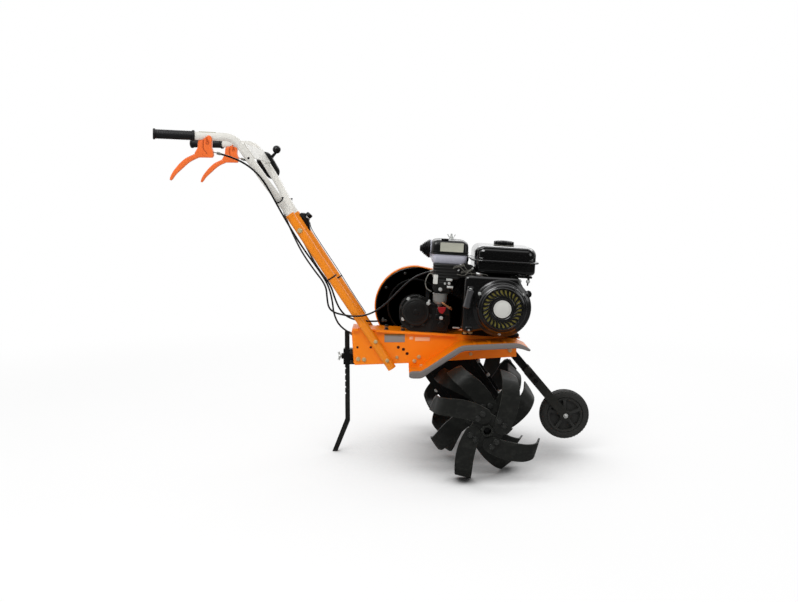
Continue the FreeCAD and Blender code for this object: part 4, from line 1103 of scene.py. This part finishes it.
def makeSilencer():
    can = stacked(placedBox((42, 122), (231.5, 303.5), 20, 6),
                  [(-168, 12), (-167, 7), (-164, 3), (-160, 0.8), (-158, 0), (-154, 0.8), (-64, 0.8),
                   (-60, 0), (-58, 0.8), (-54, 3), (-51, 7), (-50, 12)], 0)
    makeDeckPiece("silencer_can", can, "silencerSteel", replaces=["muffler"])
    # guard: slats along an arc over the top and far side, between two hoops
    (middleY, middleZ), (wide, high) = silencer["middle"], silencer["guard"]
    t = np.radians(np.linspace(-35, 115, 26))
    arc = np.stack([0 * t, middleY + (wide + 0.5) * np.cos(t), middleZ + (high + 0.5) * np.sin(t)], -1)
    for x in silencer["hoops"]:
        hoop = swept(arc + (x, 0, 0), boxSection(5, 4, 1), forward)
        makeDeckPiece("silencer_hoop_%d" % -x, hoop, "engineBlack")
    slats = []
    for angle in np.radians(np.linspace(-30, 110, silencer["slats"])):
        cosine, sine = math.cos(angle), math.sin(angle)
        y, z = middleY + wide * cosine, middleZ + high * sine
        slats.append(bar((-160, y, z), (-58, y, z), boxSection(1.6, 8.5, 0.6),
                         (0, -sine - 0.35 * cosine, cosine - 0.35 * sine)))
    makeDeckPiece("silencer_guard", slats, "engineBlack")
    tail = turned([(0, 9), (14, 9), (14, 7.4), (2, 7.4)], (-150, 120, 262), (-0.2, 1, -0.2), 24, loop=True)
    makeDeckPiece("silencer_tail", tail, "silencerSteel")
    makeDeckPiece("silencer_bolts", bolts([(x, 84, 306, 9, 5, 7) for x in (-150, -68)], upward), "zinc")


makeCylinder()
makeBlockDetails()
makeSilencer()
print("cylinder, block and silencer made")


# ---- gear case and belt guard

gear = dict(axle=(-216, 67.5), near=-44, bolts=50)
guard = dict(big=143, small=62, plate=108, bead=4)


def guardOutline():
    # the big disc's arc from the tangent of its underside round the back to its top, then the small one
    return np.concatenate([roundPoints(gear["axle"], guard["big"], np.linspace(-45, -270, 48)),
                           roundPoints(crank, guard["small"], np.linspace(90, -90, 16))])[:, [0, 2]]


def makeGuard():
    axle, around = gear["axle"], np.linspace(0, 360, 64, endpoint=False)
    shell = stacked(guardOutline(), [(108, 0), (109, -0.8), (112, -0.8), (113, 0), (156, 0), (160, 1),
                                     (162.5, 3), (164, 7), (164, 14), (162, 17), (162, 24)], byNormals=True)
    makeDeckPiece("guard_shell", shell, "orangePowder", replaces=["belt_guard"], sharp=30)
    # pressed ring and spokes on the far face, with the bolts that hold the shell
    bead = guard["bead"]
    spokes = [bar(*[roundPoints(axle, r, angle, 162.4) for r in (34, 84)], ringSection(bead, 8, 0.5),
                  leftward) for angle in np.arange(6) * 60 + 30]
    ring = swept(roundPoints(axle, 88, around, 162.4), ringSection(bead, 8, 0.6), leftward, loop=True)
    makeDeckPiece("guard_ribs", [ring, *spokes], "orangePowder")
    (x, z), (cx, cz) = axle, crank
    spots = [(x, z), (x - 118, z), (x + 20, z + 116), (x - 60, z - 102), (cx, cz), (cx - 110, cz + 40)]
    makeDeckPiece("guard_bolts", bolts([(a, 162, b, 11, 6, 10) for a, b in spots], leftward), "zinc")
    # near plate: rolled edge and shallow dished ring, and its own screws
    plate = guard["plate"]
    edge = swept(roundPoints(axle, 137, np.linspace(-45, -270, 70), plate - 0.5), ringSection(2.2, 8),
                 leftward)
    dish = swept(roundPoints(axle, 96, around, plate - 0.4), ringSection(3, 8, 0.5), leftward, loop=True)
    makeDeckPiece("guard_plate_beads", [edge, dish], "guardBlack")
    screws = [roundHead(at, rightward, 5.5, 4) for at in roundPoints(axle, 122, (150, 205, 110), plate)]
    makeDeckPiece("guard_plate_screws", screws, "blackBolt")


def makeGearCase():
    (x, z), near = gear["axle"], gear["near"]
    # cover: a flange with its bolts, stiffening ribs and a stepped dome
    flange = turned([(0, 56), (5, 56), (6.5, 54.5), (6.5, 47), (9, 45), (15, 42), (18.5, 34), (20, 20),
                     (20, 9), (22, 8), (22, 3)], (x, near + 5, z), steps=64)
    rib = bar((x, near - 11, z + 22), (x, near - 3, z + 50), boxSection(4, 7, 1.2), rightward)
    ribs = ringOf(rib, 8, (x, 0, z), start=10.5)
    makeDeckPiece("gear_cover", [flange, ribs], "gearBlack")
    heads = [hexHead(at, rightward, 8, 5, 6.5)
             for at in roundPoints(gear["axle"], gear["bolts"], 33 + 45 * np.arange(8), near - 1.5)]
    makeDeckPiece("gear_cover_bolts", [*heads[:2], heads[3], *heads[5:]], "blackBolt")
    edge = roundCorners([(-160, 4), (-104, 4), (-104, 92), (-118, 106), (-150, 104)], [4, 8, 12, 10, 6])
    boss = turned([(0, 12), (10, 12), (12, 10)], (-128, near - 2, 28), steps=24)
    web = roundedBox((-114, near - 4, 30), (-98, near + 24, 78), 4)
    makeDeckPiece("gear_case_flange", [slab(edge, near - 6, near + 20, 4), boss, web], "gearBlack")
    lug = hexHead((-112, near - 6, 88), rightward, 8.5, 5, 6.4)
    makeDeckPiece("gear_case_bolts", [heads[2], heads[4], lug], "zinc")
    plug = turned([(0, 9), (5, 9), (6, 7), (14, 7), (16, 5)], (-140, 10, 86), upward, 20)
    makeDeckPiece("gear_oil_plug", plug, "zinc")


makeGuard()
makeGearCase()
print("gear case and belt guard made")


# ---- frame fittings, fenders and chain case

sidePlate = dict(face=46, tubeFace=75.6, footHoles=[(-347.3, 396.8), (-308.4, 332.7)],
                 openHoles=[(-409.5, 373, 4.25), (-364.5, 373, 4.25), (-271, 373, 5.5), (-253.5, 366, 5.5),
                            (-241, 351.5, 5.5)])


def makeFrameFittings():
    face, tubeFace = sidePlate["face"], sidePlate["tubeFace"]
    heads = bolts([(-407.4, -face, 332.8, 9.5, 5, 7.4), (-387, -face, 331.1, 9.5, 5, 7.4),
                   (-275.5, -face, 338.5, 7, 4, 5.4), (-25.2, -face, 350.7, 8, 5, 6)])
    makePiece("frame_side_bolts", bothSides(heads), "yellowZinc")
    heads = bolts([(x, 1 - tubeFace, z, 9, 5, 6.6) for x, z in sidePlate["footHoles"]])
    spacers = [turned([(0, 9), (1.2, 9), (1.6, 8.5)], (x, -face - 0.2, z), steps=20)
               for x, z in sidePlate["footHoles"]]
    makePiece("handle_foot_bolts", bothSides(heads, *spacers), "yellowZinc")
    heads = bolts([(x, y, 0, 11, 6, 8) for x in (-312, -256) for y in (-36, 36)], upward)
    makeDeckPiece("deck_bolts", heads, "blackBolt")
    # painted shade: dark cups behind the open holes of the side plates stand for the shadow down the holes
    shadeCups = [turned([(0, r - 0.3), (9, r - 0.5), (9, 1)], (x, 1.2 - face, z), leftward, 24)
              for x, z, r in sidePlate["openHoles"]]
    makePiece("hole_shade_cups", bothSides(*shadeCups), "darkRust")

    # blank plates riveted to the near side: a grey one with a dark top strip, and two small pale ones
    def blank(across, high, corner=2):
        return slab(placedBox(across, high, corner), 0.2 - face, -face - 1.3, 0.5, 2)

    makePiece("side_plate_blank", blank((-318, -249), (391, 414)), "greyPlate")
    makePiece("side_plate_strip", blank((-318, -249), (414.6, 418.5), 1.5), "ventOlive")
    small = [blank((-233, -220), (400, 410)), blank((-214.5, -164), (395, 408.5))]
    makePiece("side_plate_small", small, "warmPlate")

    # weld runs, swelling by a sine for each bead: down the rear plate's edges and under the deck
    def weld(start, end, count, r=2.6):
        t = np.linspace(0, 1, count * 4 + 1)[:, None]
        path = np.array(start, float) * (1 - t) + np.array(end, float) * t
        return swept(path, ringSection(r, 8), (0, 1, 0.3), scale=1 + 0.22 * np.sin(t * count * 2 * math.pi))

    welds = [weld((-420.5, -42, 318), (-427, -42, 430), 22),
             weld((-360, -46.5, 431), (-120, -46.5, 417), 46, 2.2)]
    makePiece("frame_welds", bothSides(*welds), "orangePowder")


fender = dict(line=[(-236, 310), (-197, 310), (-66, 397), (119, 406), (153, 390)], bends=[26, 60, 70],
              inner=46, outer=205, edge=214, thick=3, ribs=[(-18, 399.5), (30, 402), (78, 404.2)],
              bolts=[(-216, -46, 326), (-201, -46, 340)])


def makeFenders():
    inner, outer, edge = fender["inner"], fender["outer"], fender["edge"]
    line = bendCorners(fender["line"], fender["bends"], 8)
    path = np.insert(line, 1, -(inner + outer - 2) / 2, axis=1)
    sheet = swept(path, boxSection(outer - 2 - inner, fender["thick"], 1.2))
    # shallow pressed beads across the sheet stiffen it
    beads = [bar((x, -78, z + 1.2), (x, -182, z + 1.2), ringSection(6, 12, 0.45)) for x, z in fender["ribs"]]
    makePair("fender_sheet", joined(sheet, *beads), "orangePowder", "fender", sharp=50)

    # edging: a rubber channel on the sheet's outer edge, deeper at the back and drawn down at its tip
    along = np.concatenate([[0], np.cumsum(np.linalg.norm(np.diff(line, axis=0), axis=1))])
    even = np.linspace(0, along[-1], 90)
    line = np.stack([np.interp(even, along, line[:, k]) for k in (0, 1)], -1)
    deep = np.interp(even / along[-1], [0, 0.012, 0.03, 0.075, 0.16, 0.86, 0.93, 0.985, 1],
                     [0.75, 1.15, 1.32, 1.34, 1.0, 1.0, 0.82, 0.55, 0.3])
    path = np.insert(line, 1, -(outer + edge - 3) / 2, axis=1)
    strip = swept(path, boxSection(edge - outer + 3, 18, 4.4, 5), scale=np.stack([np.ones(90), deep], -1))
    makePair("edging", strip, "edgingRubber", "fender_edging", sharp=60)

    nuts = bolts([(*at, 9, 4, 6.8) for at in fender["bolts"]])
    makePiece("fender_bolts", bothSides(nuts, hexHead((-193, -64, 311.5), upward, 9, 5, 6.8)), "yellowZinc")


chain = dict(low=(0, 173.87), top=(-108, 324.5), flange=86, wider=5)


def makeChainCase():
    # bolts round the flange between the case's halves, and the bearing bosses' rings
    low, top, flange = chain["low"], chain["top"], chain["flange"]
    run = np.array([top[0] - low[0], top[1] - low[1]])
    lean = math.degrees(math.atan2(run[1], run[0]))
    spots = roundPoints(low, flange, lean + np.linspace(100, 260, 6), -4).tolist()
    for side in (-90, 90):
        for share in (0.3, 0.62):
            wide = flange + chain["wider"] * share
            spots += roundPoints(low + run * share, wide, [lean + side], -4).tolist()
    makePiece("case_flange_bolts", bothSides(bolts([(*at, 9, 5, 6.5) for at in spots])), "zinc")
    ring = turned([(0, 34), (3, 34), (4.5, 32), (4.5, 27), (3, 25)], (low[0], -42, low[1]), steps=48)
    makePiece("case_bearing_rings", bothSides(ring), "ironLacquer")
    outline = np.concatenate([roundPoints(low, 62, lean + np.linspace(95, 265, 20), -41.5),
                              roundPoints(top, 64, lean + np.linspace(-85, 85, 20), -41.5)])
    pressing = swept(outline, ringSection(4, 8, 0.6), leftward, loop=True)
    makePiece("case_pressings", bothSides(pressing), "ironLacquer")


makeFrameFittings()
makeFenders()
makeChainCase()
print("frame, fenders and chain case made")


# ---- tines

tine = dict(z=173.87, first=-392, pitch=114, right=(-105, -141, -123), left=(-148.2, -112, -130), plate=12,
            boltHoles=[(37, -28), (27, -46)])


def onShaft(shape, lead):
    # a shape round the origin, turned to a tine section's lead and lifted to the shaft
    return moved(shape, (0, 0, tine["z"]), turn=-lead)


def makeTineBolts():
    # two bolts through the root of every blade and its plate, with their nuts on the other side
    heads, nuts = [], []
    for side, leads in (("right", tine["right"]), ("left", tine["left"])):
        for k, lead in enumerate(leads):
            y = tine["first"] + tine["pitch"] * k
            head = bolts([(x, y, z, 13, 5.8, 9.5) for x, z in tine["boltHoles"]])
            nut = bolts([(x, y + tine["plate"], z, 13, 8) for x, z in tine["boltHoles"]], leftward)
            for shape, kept in ((head, heads), (nut, nuts)):
                made = onShaft(ringOf(shape, 4, (0, 0, 0)), lead)
                kept.append(mirrored(made) if side == "left" else made)
    makePiece("tine_bolts", heads, "blackBolt", body="tine_rotor")
    makePiece("tine_nuts", nuts, "blackBolt", body="tine_rotor")


def makeTineHubs():
    # a weld round each hub against its plate, the pins across the hubs, and a dark plug in the outermost one
    # as painted shade down its open end
    rings, pins = [], []
    t = np.linspace(0, 2 * math.pi, 72, endpoint=False)
    r = 16.8 * hexRim(t + math.pi / 6) + 0.6 * np.sin(t * 24)
    for k, lead in enumerate(tine["right"]):
        y = tine["first"] + tine["pitch"] * k
        path = np.stack([r * np.cos(t), np.full(72, y + 12.5), r * np.sin(t)], -1)
        rings.append(onShaft(swept(path, ringSection(2.6, 7), leftward, loop=True), lead))
        if k:
            pins.append(onShaft(joined(hexHead((0, y - 22, 16), upward, 12, 7, 9),
                                       hexHead((0, y - 22, -16), downward, 12, 9, 9)), lead))
    pins.append(onShaft(joined(hexHead((0, -394.5, 15.6), upward, 8, 4),
                               hexHead((0, -394.5, -15.6), downward, 8, 4)), tine["right"][0]))
    plug = turned([(-30, 9), (-7, 11), (-6, 11), (-5, 10), (-4, 4)], (0, -391, tine["z"]), steps=24)
    makePiece("hub_welds", bothSides(*rings), "tineLacquer", body="tine_rotor")
    makePiece("hub_pins", bothSides(*pins), "blackBolt", body="tine_rotor")
    makePiece("hub_hole_shade", bothSides(plug), "blackPlastic", body="tine_rotor")


makeTineBolts()
makeTineHubs()
print("tine fittings made")


# ---- transport wheel, its arm and the drag stake

wheel = dict(at=(304, 0, 132.6), rim=61, lugs=44, pivot=(108, 0, 364), armRun=(196, 0, -231.4), fork=35)


def makeWheel():
    at, rim, fork = np.array(wheel["at"]), wheel["rim"], wheel["fork"]
    # tyre: a solid ring with a shallow crown, three grooves and a lip at the rim, the same on both sides
    half = [(21, rim), (24.6, 63), (25, 70), (24, 77), (20, 82), (15.5, 83.6), (15, 81.8), (13, 81.8),
            (12.5, 84.2), (4, 84.8), (3.5, 82.8)]
    tyre = turned([(-y, r) for y, r in half] + half[::-1], at, leftward, 96, loop=True)
    makePiece("tyre_ring", tyre, "tyreRubber", "front_wheel", replaces=["wheel_tyre"], sharp=32)
    lug = roundedBox(at + (76.5, 16, -2.2), at + (82.4, 23.6, 2.2), 1.2, 1)
    makePiece("tyre_lugs", ringOf(bothSides(lug), wheel["lugs"], at), "tyreRubber", "front_wheel")
    bead = turned([(18.2, 60.5), (20.5, 60), (21, 57.5), (20, 55), (18.5, 54.6)], at, steps=72, loop=True)
    collar = turned([(24, 15), (28.5, 14), (29.2, 12)], at)
    makePiece("wheel_trim", bothSides(bead, collar), "hubPlastic", "front_wheel")

    # axle ends: a washer and a domed cap on each fork
    cap = [turned([(0, 8), (1.4, 8), (1.8, 7.4)], at - (0, fork, 0), steps=28),
           roundHead(at - (0, fork + 1.6, 0), rightward, 5.6, 5.6)]
    axle = turned([(-fork - 0.5, 5.8), (fork + 0.5, 5.8)], at, steps=24)
    makePiece("axle_caps", [axle, bothSides(*cap)], "zinc", "wheel_arm", replaces=["wheel_bolt"])
    pivot = np.array(wheel["pivot"])
    head = [hexHead(pivot - (0, 46, 0), rightward, 12, 6, 8),
            turned([(0, 3.4), (2.6, 3.4), (3.4, 2.6)], pivot - (0, 51, 0), steps=16)]
    bolt = turned([(-46, 4.9), (46, 4.9)], pivot, steps=24)
    makePiece("arm_pivot_bolt", [bolt, bothSides(*head)], "yellowZinc", replaces=["pivot_bolt"])

    # bolts and a stiffening web where the fork plates join the arm
    run = np.array(wheel["armRun"]) / math.hypot(*wheel["armRun"])
    heads = [hexHead(pivot + run * reach - (0, fork, 0), rightward, 10, 5, 7.5) for reach in (118, 142)]
    makePiece("fork_bolts", bothSides(*heads), "ironLacquer", "wheel_arm")
    rib = bar(*[pivot + run * reach - (0, 18, 0) for reach in (26, 96)], boxSection(5, 8, 2), rightward)
    makePiece("arm_ribs", bothSides(rib), "ironLacquer", "wheel_arm")


stake = dict(back=-455, bolt=335.5, lugs=(318, 353))


def makeStake():
    at = np.array([stake["back"], 0, stake["bolt"]])
    # wing bolt: shank, collar and two spread ears, its nut welded to the bracket
    ears = [swept(smoothLine([at + (-18, 0, side * 5), at + (-20, 0, side * 9),
                              at + (-22, side * 1.5, side * 14)], 6), boxSection(3, 7, 1.3), forward)
            for side in (-1, 1)]
    shank = turned([(0, 3.9), (14, 3.9), (14.5, 7), (20, 7), (22, 5)], at - (0.1, 0, 0), backward, 24)
    makePiece("wing_bolt", [shank, *ears], "zinc", replaces=["stake_wing_bolt"])
    nut = turned([(4.6, 8.6), (11, 8.6), (12, 7.6)], at, backward, 24, rim=hexRim)
    lugs = [roundedBox((-436, -26, z - 5), (-423, -15, z + 5), 2) for z in stake["lugs"]]
    makePiece("bracket_lugs", [nut, bothSides(*lugs)], "ironLacquer")
    heads = bolts([(-431, -26, z, 9, 5, 6.5) for z in stake["lugs"]])
    makePiece("bracket_bolts", bothSides(heads), "blackBolt")


makeWheel()
makeStake()
print("wheel and stake fittings made")


# ---- handle: grips, levers, throttle, switch, ties and bolts

# the left tubes' axes: the lower tube's kink, where the upper tube starts, its two bends and its rear end
kink, joint, high, bend, end = np.array([(-377, 60.8, 434), (-629, 82, 822), (-700, 160, 935),
                                         (-785, 204, 1066), (-1021, 264, 1073.5)])
handle = dict(tube=12.7, sleeve=14.6, grip=121, lever=154)


def alongBar(back):
    # a point on the left bar's axis, a distance ahead of its rear end
    return end + unit(bend - end) * back


def atDepth(line, y):
    # points of x and z, all at one y
    return np.insert(line, 1, y, axis=1)


def makeGrips():
    # ribs of two levels each between two rolled ends
    reach = np.linspace(9, 116, 87)
    ribs = np.where(np.arange(87) % 4 < 2, 14.6, 13.9)
    profile = [(-0.5, 13.0), (0, 16.4), (1, 17), (6, 17), (7.5, 16), (8.5, 14.2), *zip(reach, ribs),
               (117, 14.4), (118, 16.4), (120, 17), (123.5, 16.8), (125, 14.5), (125, 5)]
    grip = turned(profile, alongBar(handle["grip"]), unit(end - bend), 40)
    makePair("ribbed_grip", grip, "gripRubber", "grip", sharp=55, drawn="left")


lever = dict(clamp=[(-5, -2), (-6, -66), (21, -66.5), (25, -60), (24.5, -48), (20, -35), (22, -6), (17, 2),
                    (2, 4)],
             clampCorners=[3, 3, 4, 4, 5, 5, 5, 5, 4], clampHalf=11,
             lobe=[(-2, -9), (-14, -8), (-22, -15), (-24, -36), (-34, -53), (-30, -66), (-2, -66)],
             lobeCorners=[3, 5, 6, 8, 4, 6, 3], lobeHalf=8.5,
             blade=[(-20, -57), (-43.5, -67.5), (-59, -76), (-78, -92.5), (-97.5, -113), (-108.5, -130),
                    (-111.5, -135.5)],
             bladeWide=[15.5, 15.5, 17, 17, 12.8, 9.5, 5.5],
             seam=[(-4, -14), (-5.5, -31), (-3, -42), (4, -50), (6.5, -56)],
             window=[(4, -18), (13, -18), (13, -25), (4, -25)])


def makeLevers():
    centre = alongBar(handle["lever"])
    y, across = centre[1], centre[[0, 2]]

    def block(line, corners, half):
        return slab(roundCorners(line, corners, 3) + across, y - half, y + half, 3, byNormals=True)

    # clamp under the bar: narrow at the top, its front leaning out to a rounded low corner
    clamp = block(lever["clamp"], lever["clampCorners"], lever["clampHalf"])
    angle = np.radians(np.linspace(190, 350, 33))
    arc = centre + (6, 0, 0) + 14.4 * np.stack([0 * angle, np.cos(angle), np.sin(angle)], -1)
    saddle = swept(arc, boxSection(22, 2.8, 1), forward)
    # lever: a lobe beside the clamp that runs out into a blade, given by its middle line and width
    lobe = block(lever["lobe"], lever["lobeCorners"], lever["lobeHalf"])
    middle = smoothLine(lever["blade"], 8)
    wide = np.interp(-middle[:, 0], [-x for x, _ in lever["blade"]], lever["bladeWide"])
    deep = np.interp(middle[:, 0], [-111.5, -104, -20], [0.72, 0.86, 1])
    blade = swept(atDepth(middle + across, y), boxSection(10, 17, 3.4, 4), leftward,
                  scale=np.stack([wide / 10, deep], -1))
    for side, turnedOver in (("left", joined), ("right", mirrored)):
        for name, shape, node in (("bar_clamp_", joined(clamp, saddle), "lever_bracket_"),
                                  ("lever_blade_", joined(lobe, blade), "clutch_lever_")):
            makePiece(name + side, turnedOver(shape), "leverPlastic", replaces=[node + side], sharp=50)
    # the line where lever and clamp meet, and the clamp's small sunk window
    lines = []
    for face in (y - 10.9, y + 10.9):
        lines.append(wire(atDepth(lever["seam"] + across, face), 1.0, 6))
        window = roundCorners(lever["window"] + across, 1.5)
        lines.append(swept(atDepth(window, face), ringSection(0.8, 6), leftward, loop=True))
    makePiece("clamp_seams", bothSides(*lines), "seamPlastic")
    strip = swept([alongBar(back) + (0, 0, 12.6) for back in (134, 160, 186)], boxSection(9, 1.4, 0.6))
    makePiece("bar_strips", bothSides(strip), "ventOlive")


throttle = dict(up=69, clear=13.7, half=26, wide=(28, 25), deep=16, ball=(-707.5, 210.5, 1049),
                cable=(-705.9, 180.7, 937.5), cableRun=(0.3813, -0.4956, -0.7804))


def makeThrottle():
    along = unit(bend - high)
    middle = high + along * throttle["up"]
    out = middle[1] + throttle["clear"]
    low, top = middle - along * throttle["half"], middle + along * throttle["half"]
    # case: two arcs of different radius, set apart along the tube
    lean = math.degrees(math.atan2(top[2] - low[2], top[0] - low[0]))
    outline = np.concatenate([roundPoints(spot[[0, 2]], r, lean + np.linspace(first, first + 176, 24))
                              for spot, r, first in zip((top, low), throttle["wide"], (-88, 92))])[:, [0, 2]]
    case = slab(outline, out, out + throttle["deep"], 4.5, 4, byNormals=True)
    bead = stacked(outline, [(out + 8, -0.2), (out + 8.4, -1.0), (out + 9.6, -1.0), (out + 10, -0.2)],
                   byNormals=True)
    # saddle behind the tube; its one screw goes through from the near side
    saddle = bar(*[middle + along * run + (0, 11, 0) for run in (-12, 12)], boxSection(20, 6, 2), leftward)
    makePiece("throttle_case", [case, bead, saddle], "blackPlastic", replaces=["throttle"])
    foot = np.array([middle[0] + 4, out + 18, middle[2] + 8])
    ball = np.array(throttle["ball"])
    hub = turned([(-4, 13), (4, 13), (6, 11), (7, 5)], foot, leftward, 28)
    rod = swept(smoothLine([foot, foot + (6, 3, 22), ball - (2, 0, 10)], 8), boxSection(11, 7, 3), leftward,
                scale=np.linspace(1.35, 0.8, 17)[:, None])
    rise = np.radians(np.linspace(-84, 84, 17))
    knob = turned(np.stack([14.6 * np.sin(rise), 14.6 * np.cos(rise)], -1), ball, ball - foot)
    makePiece("throttle_lever", [hub, rod, knob], "blackPlastic")
    screws = [roundHead((x, out + throttle["deep"], z), leftward, 4, 2.4)
              for x, _, z in (low - along * 8, top + along * 8)]
    screws.append(turned([(0, 3.6), (1.4, 3.4), (1.4, 2.2), (0.4, 2)], middle + (0, -12.5, 0) + along * 8,
                         steps=20))
    makePiece("throttle_screws", screws, "zinc")
    # tapered sleeve where the cable leaves the case
    boot = turned([(-24, 5.6), (-12, 5.2), (0, 4.6), (8, 4.2), (16, 3.7), (22, 3.3)], throttle["cable"],
                  throttle["cableRun"], 20)
    makePiece("throttle_cable_boot", boot, "blackPlastic")


stopSwitch = dict(down=42, wedge=[(10, 32), (20, 34), (32, 24), (31, 2), (22, -16), (13, -34), (10, -36)],
                  corners=[3, 5, 5, 6, 6, 3, 2],
                  lead=[(26, -10), (19, -34), (17.5, -90), (18.5, -200), (16.6, -300)])


def makeStopSwitch():
    # a wedge that hugs the left sleeve, and a lobed knob on its front
    up = unit(joint - kink)
    ahead = unit(np.array([up[2], 0, -up[0]]))
    centre = joint - up * stopSwitch["down"]
    outline = roundCorners(stopSwitch["wedge"], stopSwitch["corners"], 3)
    points, faces = slab(outline, -12, 12, 3, byNormals=True)
    wedge = (points @ np.stack([ahead, leftward, up]) + centre, faces)
    at, out = centre + ahead * 30 + up * 10, ahead + up * 0.25
    knob = turned([(-2, 10), (3, 10), (4, 11.5), (12, 11.5), (14, 9.5), (14.4, 3)], at, out, 48,
                  rim=lambda angle: 1 + 0.08 * np.cos(5 * angle))
    makePiece("switch_body", wedge, "blackPlastic", replaces=["stop_switch"])
    makePiece("switch_knob", knob, "blackPlastic")
    makePiece("switch_collar", turned([(-3, 12.4), (0.5, 12.4), (1, 11.6), (1, 9)], at, out, 40), "zinc")
    lead = [centre + ahead * reach + up * rise for reach, rise in stopSwitch["lead"]]
    makePiece("switch_lead", wire([*lead, kink + ahead * 17 + up * 40], 1.3, 8), "cableSleeve")


def makeTubeFittings():
    # one bolt through sleeve and tube on the outside, its dome inside, and the rolled end of each sleeve
    up, flare = unit(joint - kink), unit(high - joint)
    face = np.array([0, handle["sleeve"] - 0.4, 0])
    at = joint - up * 62
    makePiece("sleeve_bolts", bothSides(hexHead(at + face, leftward, 12, 6, 8.6)), "yellowZinc")
    makePiece("sleeve_domes", bothSides(roundHead(at - face, rightward, 6, 3)), "tubeOrange")
    rim = turned([(-8, 14.6), (-7, 15.1), (1, 15.1), (1.6, 14.4), (1.6, 12.9), (-8, 12.9)], joint, up, 40,
                 loop=True)
    makePiece("sleeve_ends", bothSides(rim), "tubeOrange")
    # painted shade: a black dome on each tube's bend stands for the dark hole where the stiffener is riveted
    rivetHole = high + unit(bend - high) * 84 + (0, 12.3, 0)
    makePiece("rivet_hole_shade", bothSides(roundHead(rivetHole, leftward, 4.2, 2)), "blackPlastic")

    # ties: a flat band round the tube with its lock
    def tie(at, direction, r):
        band = turned([(-2.2, r), (-2.2, r + 1.3), (2.2, r + 1.3), (2.2, r)], at, direction, 36, loop=True)
        lock = roundedBox((-2.6, -2.6, -2.2), (2.6, 2.6, 2.2), 1, 2)
        return joined(band, moved(lock, at - unit(np.cross(direction, leftward)) * (r + 2)))

    onTube, onSleeve = handle["tube"] + 0.1, handle["sleeve"] + 0.1
    right = np.array([1, -1, 1])
    ties = [tie((joint + flare * 66) * right, flare * right, onTube),
            tie((kink + up * 214) * right, up * right, onSleeve),
            tie(joint + flare * 60, flare, onTube), tie(kink + up * 196, up, onSleeve)]
    makePiece("cable_ties", ties, "tiePlastic")


makeGrips()
makeLevers()
makeThrottle()
makeStopSwitch()
makeTubeFittings()
print("handle fittings made")
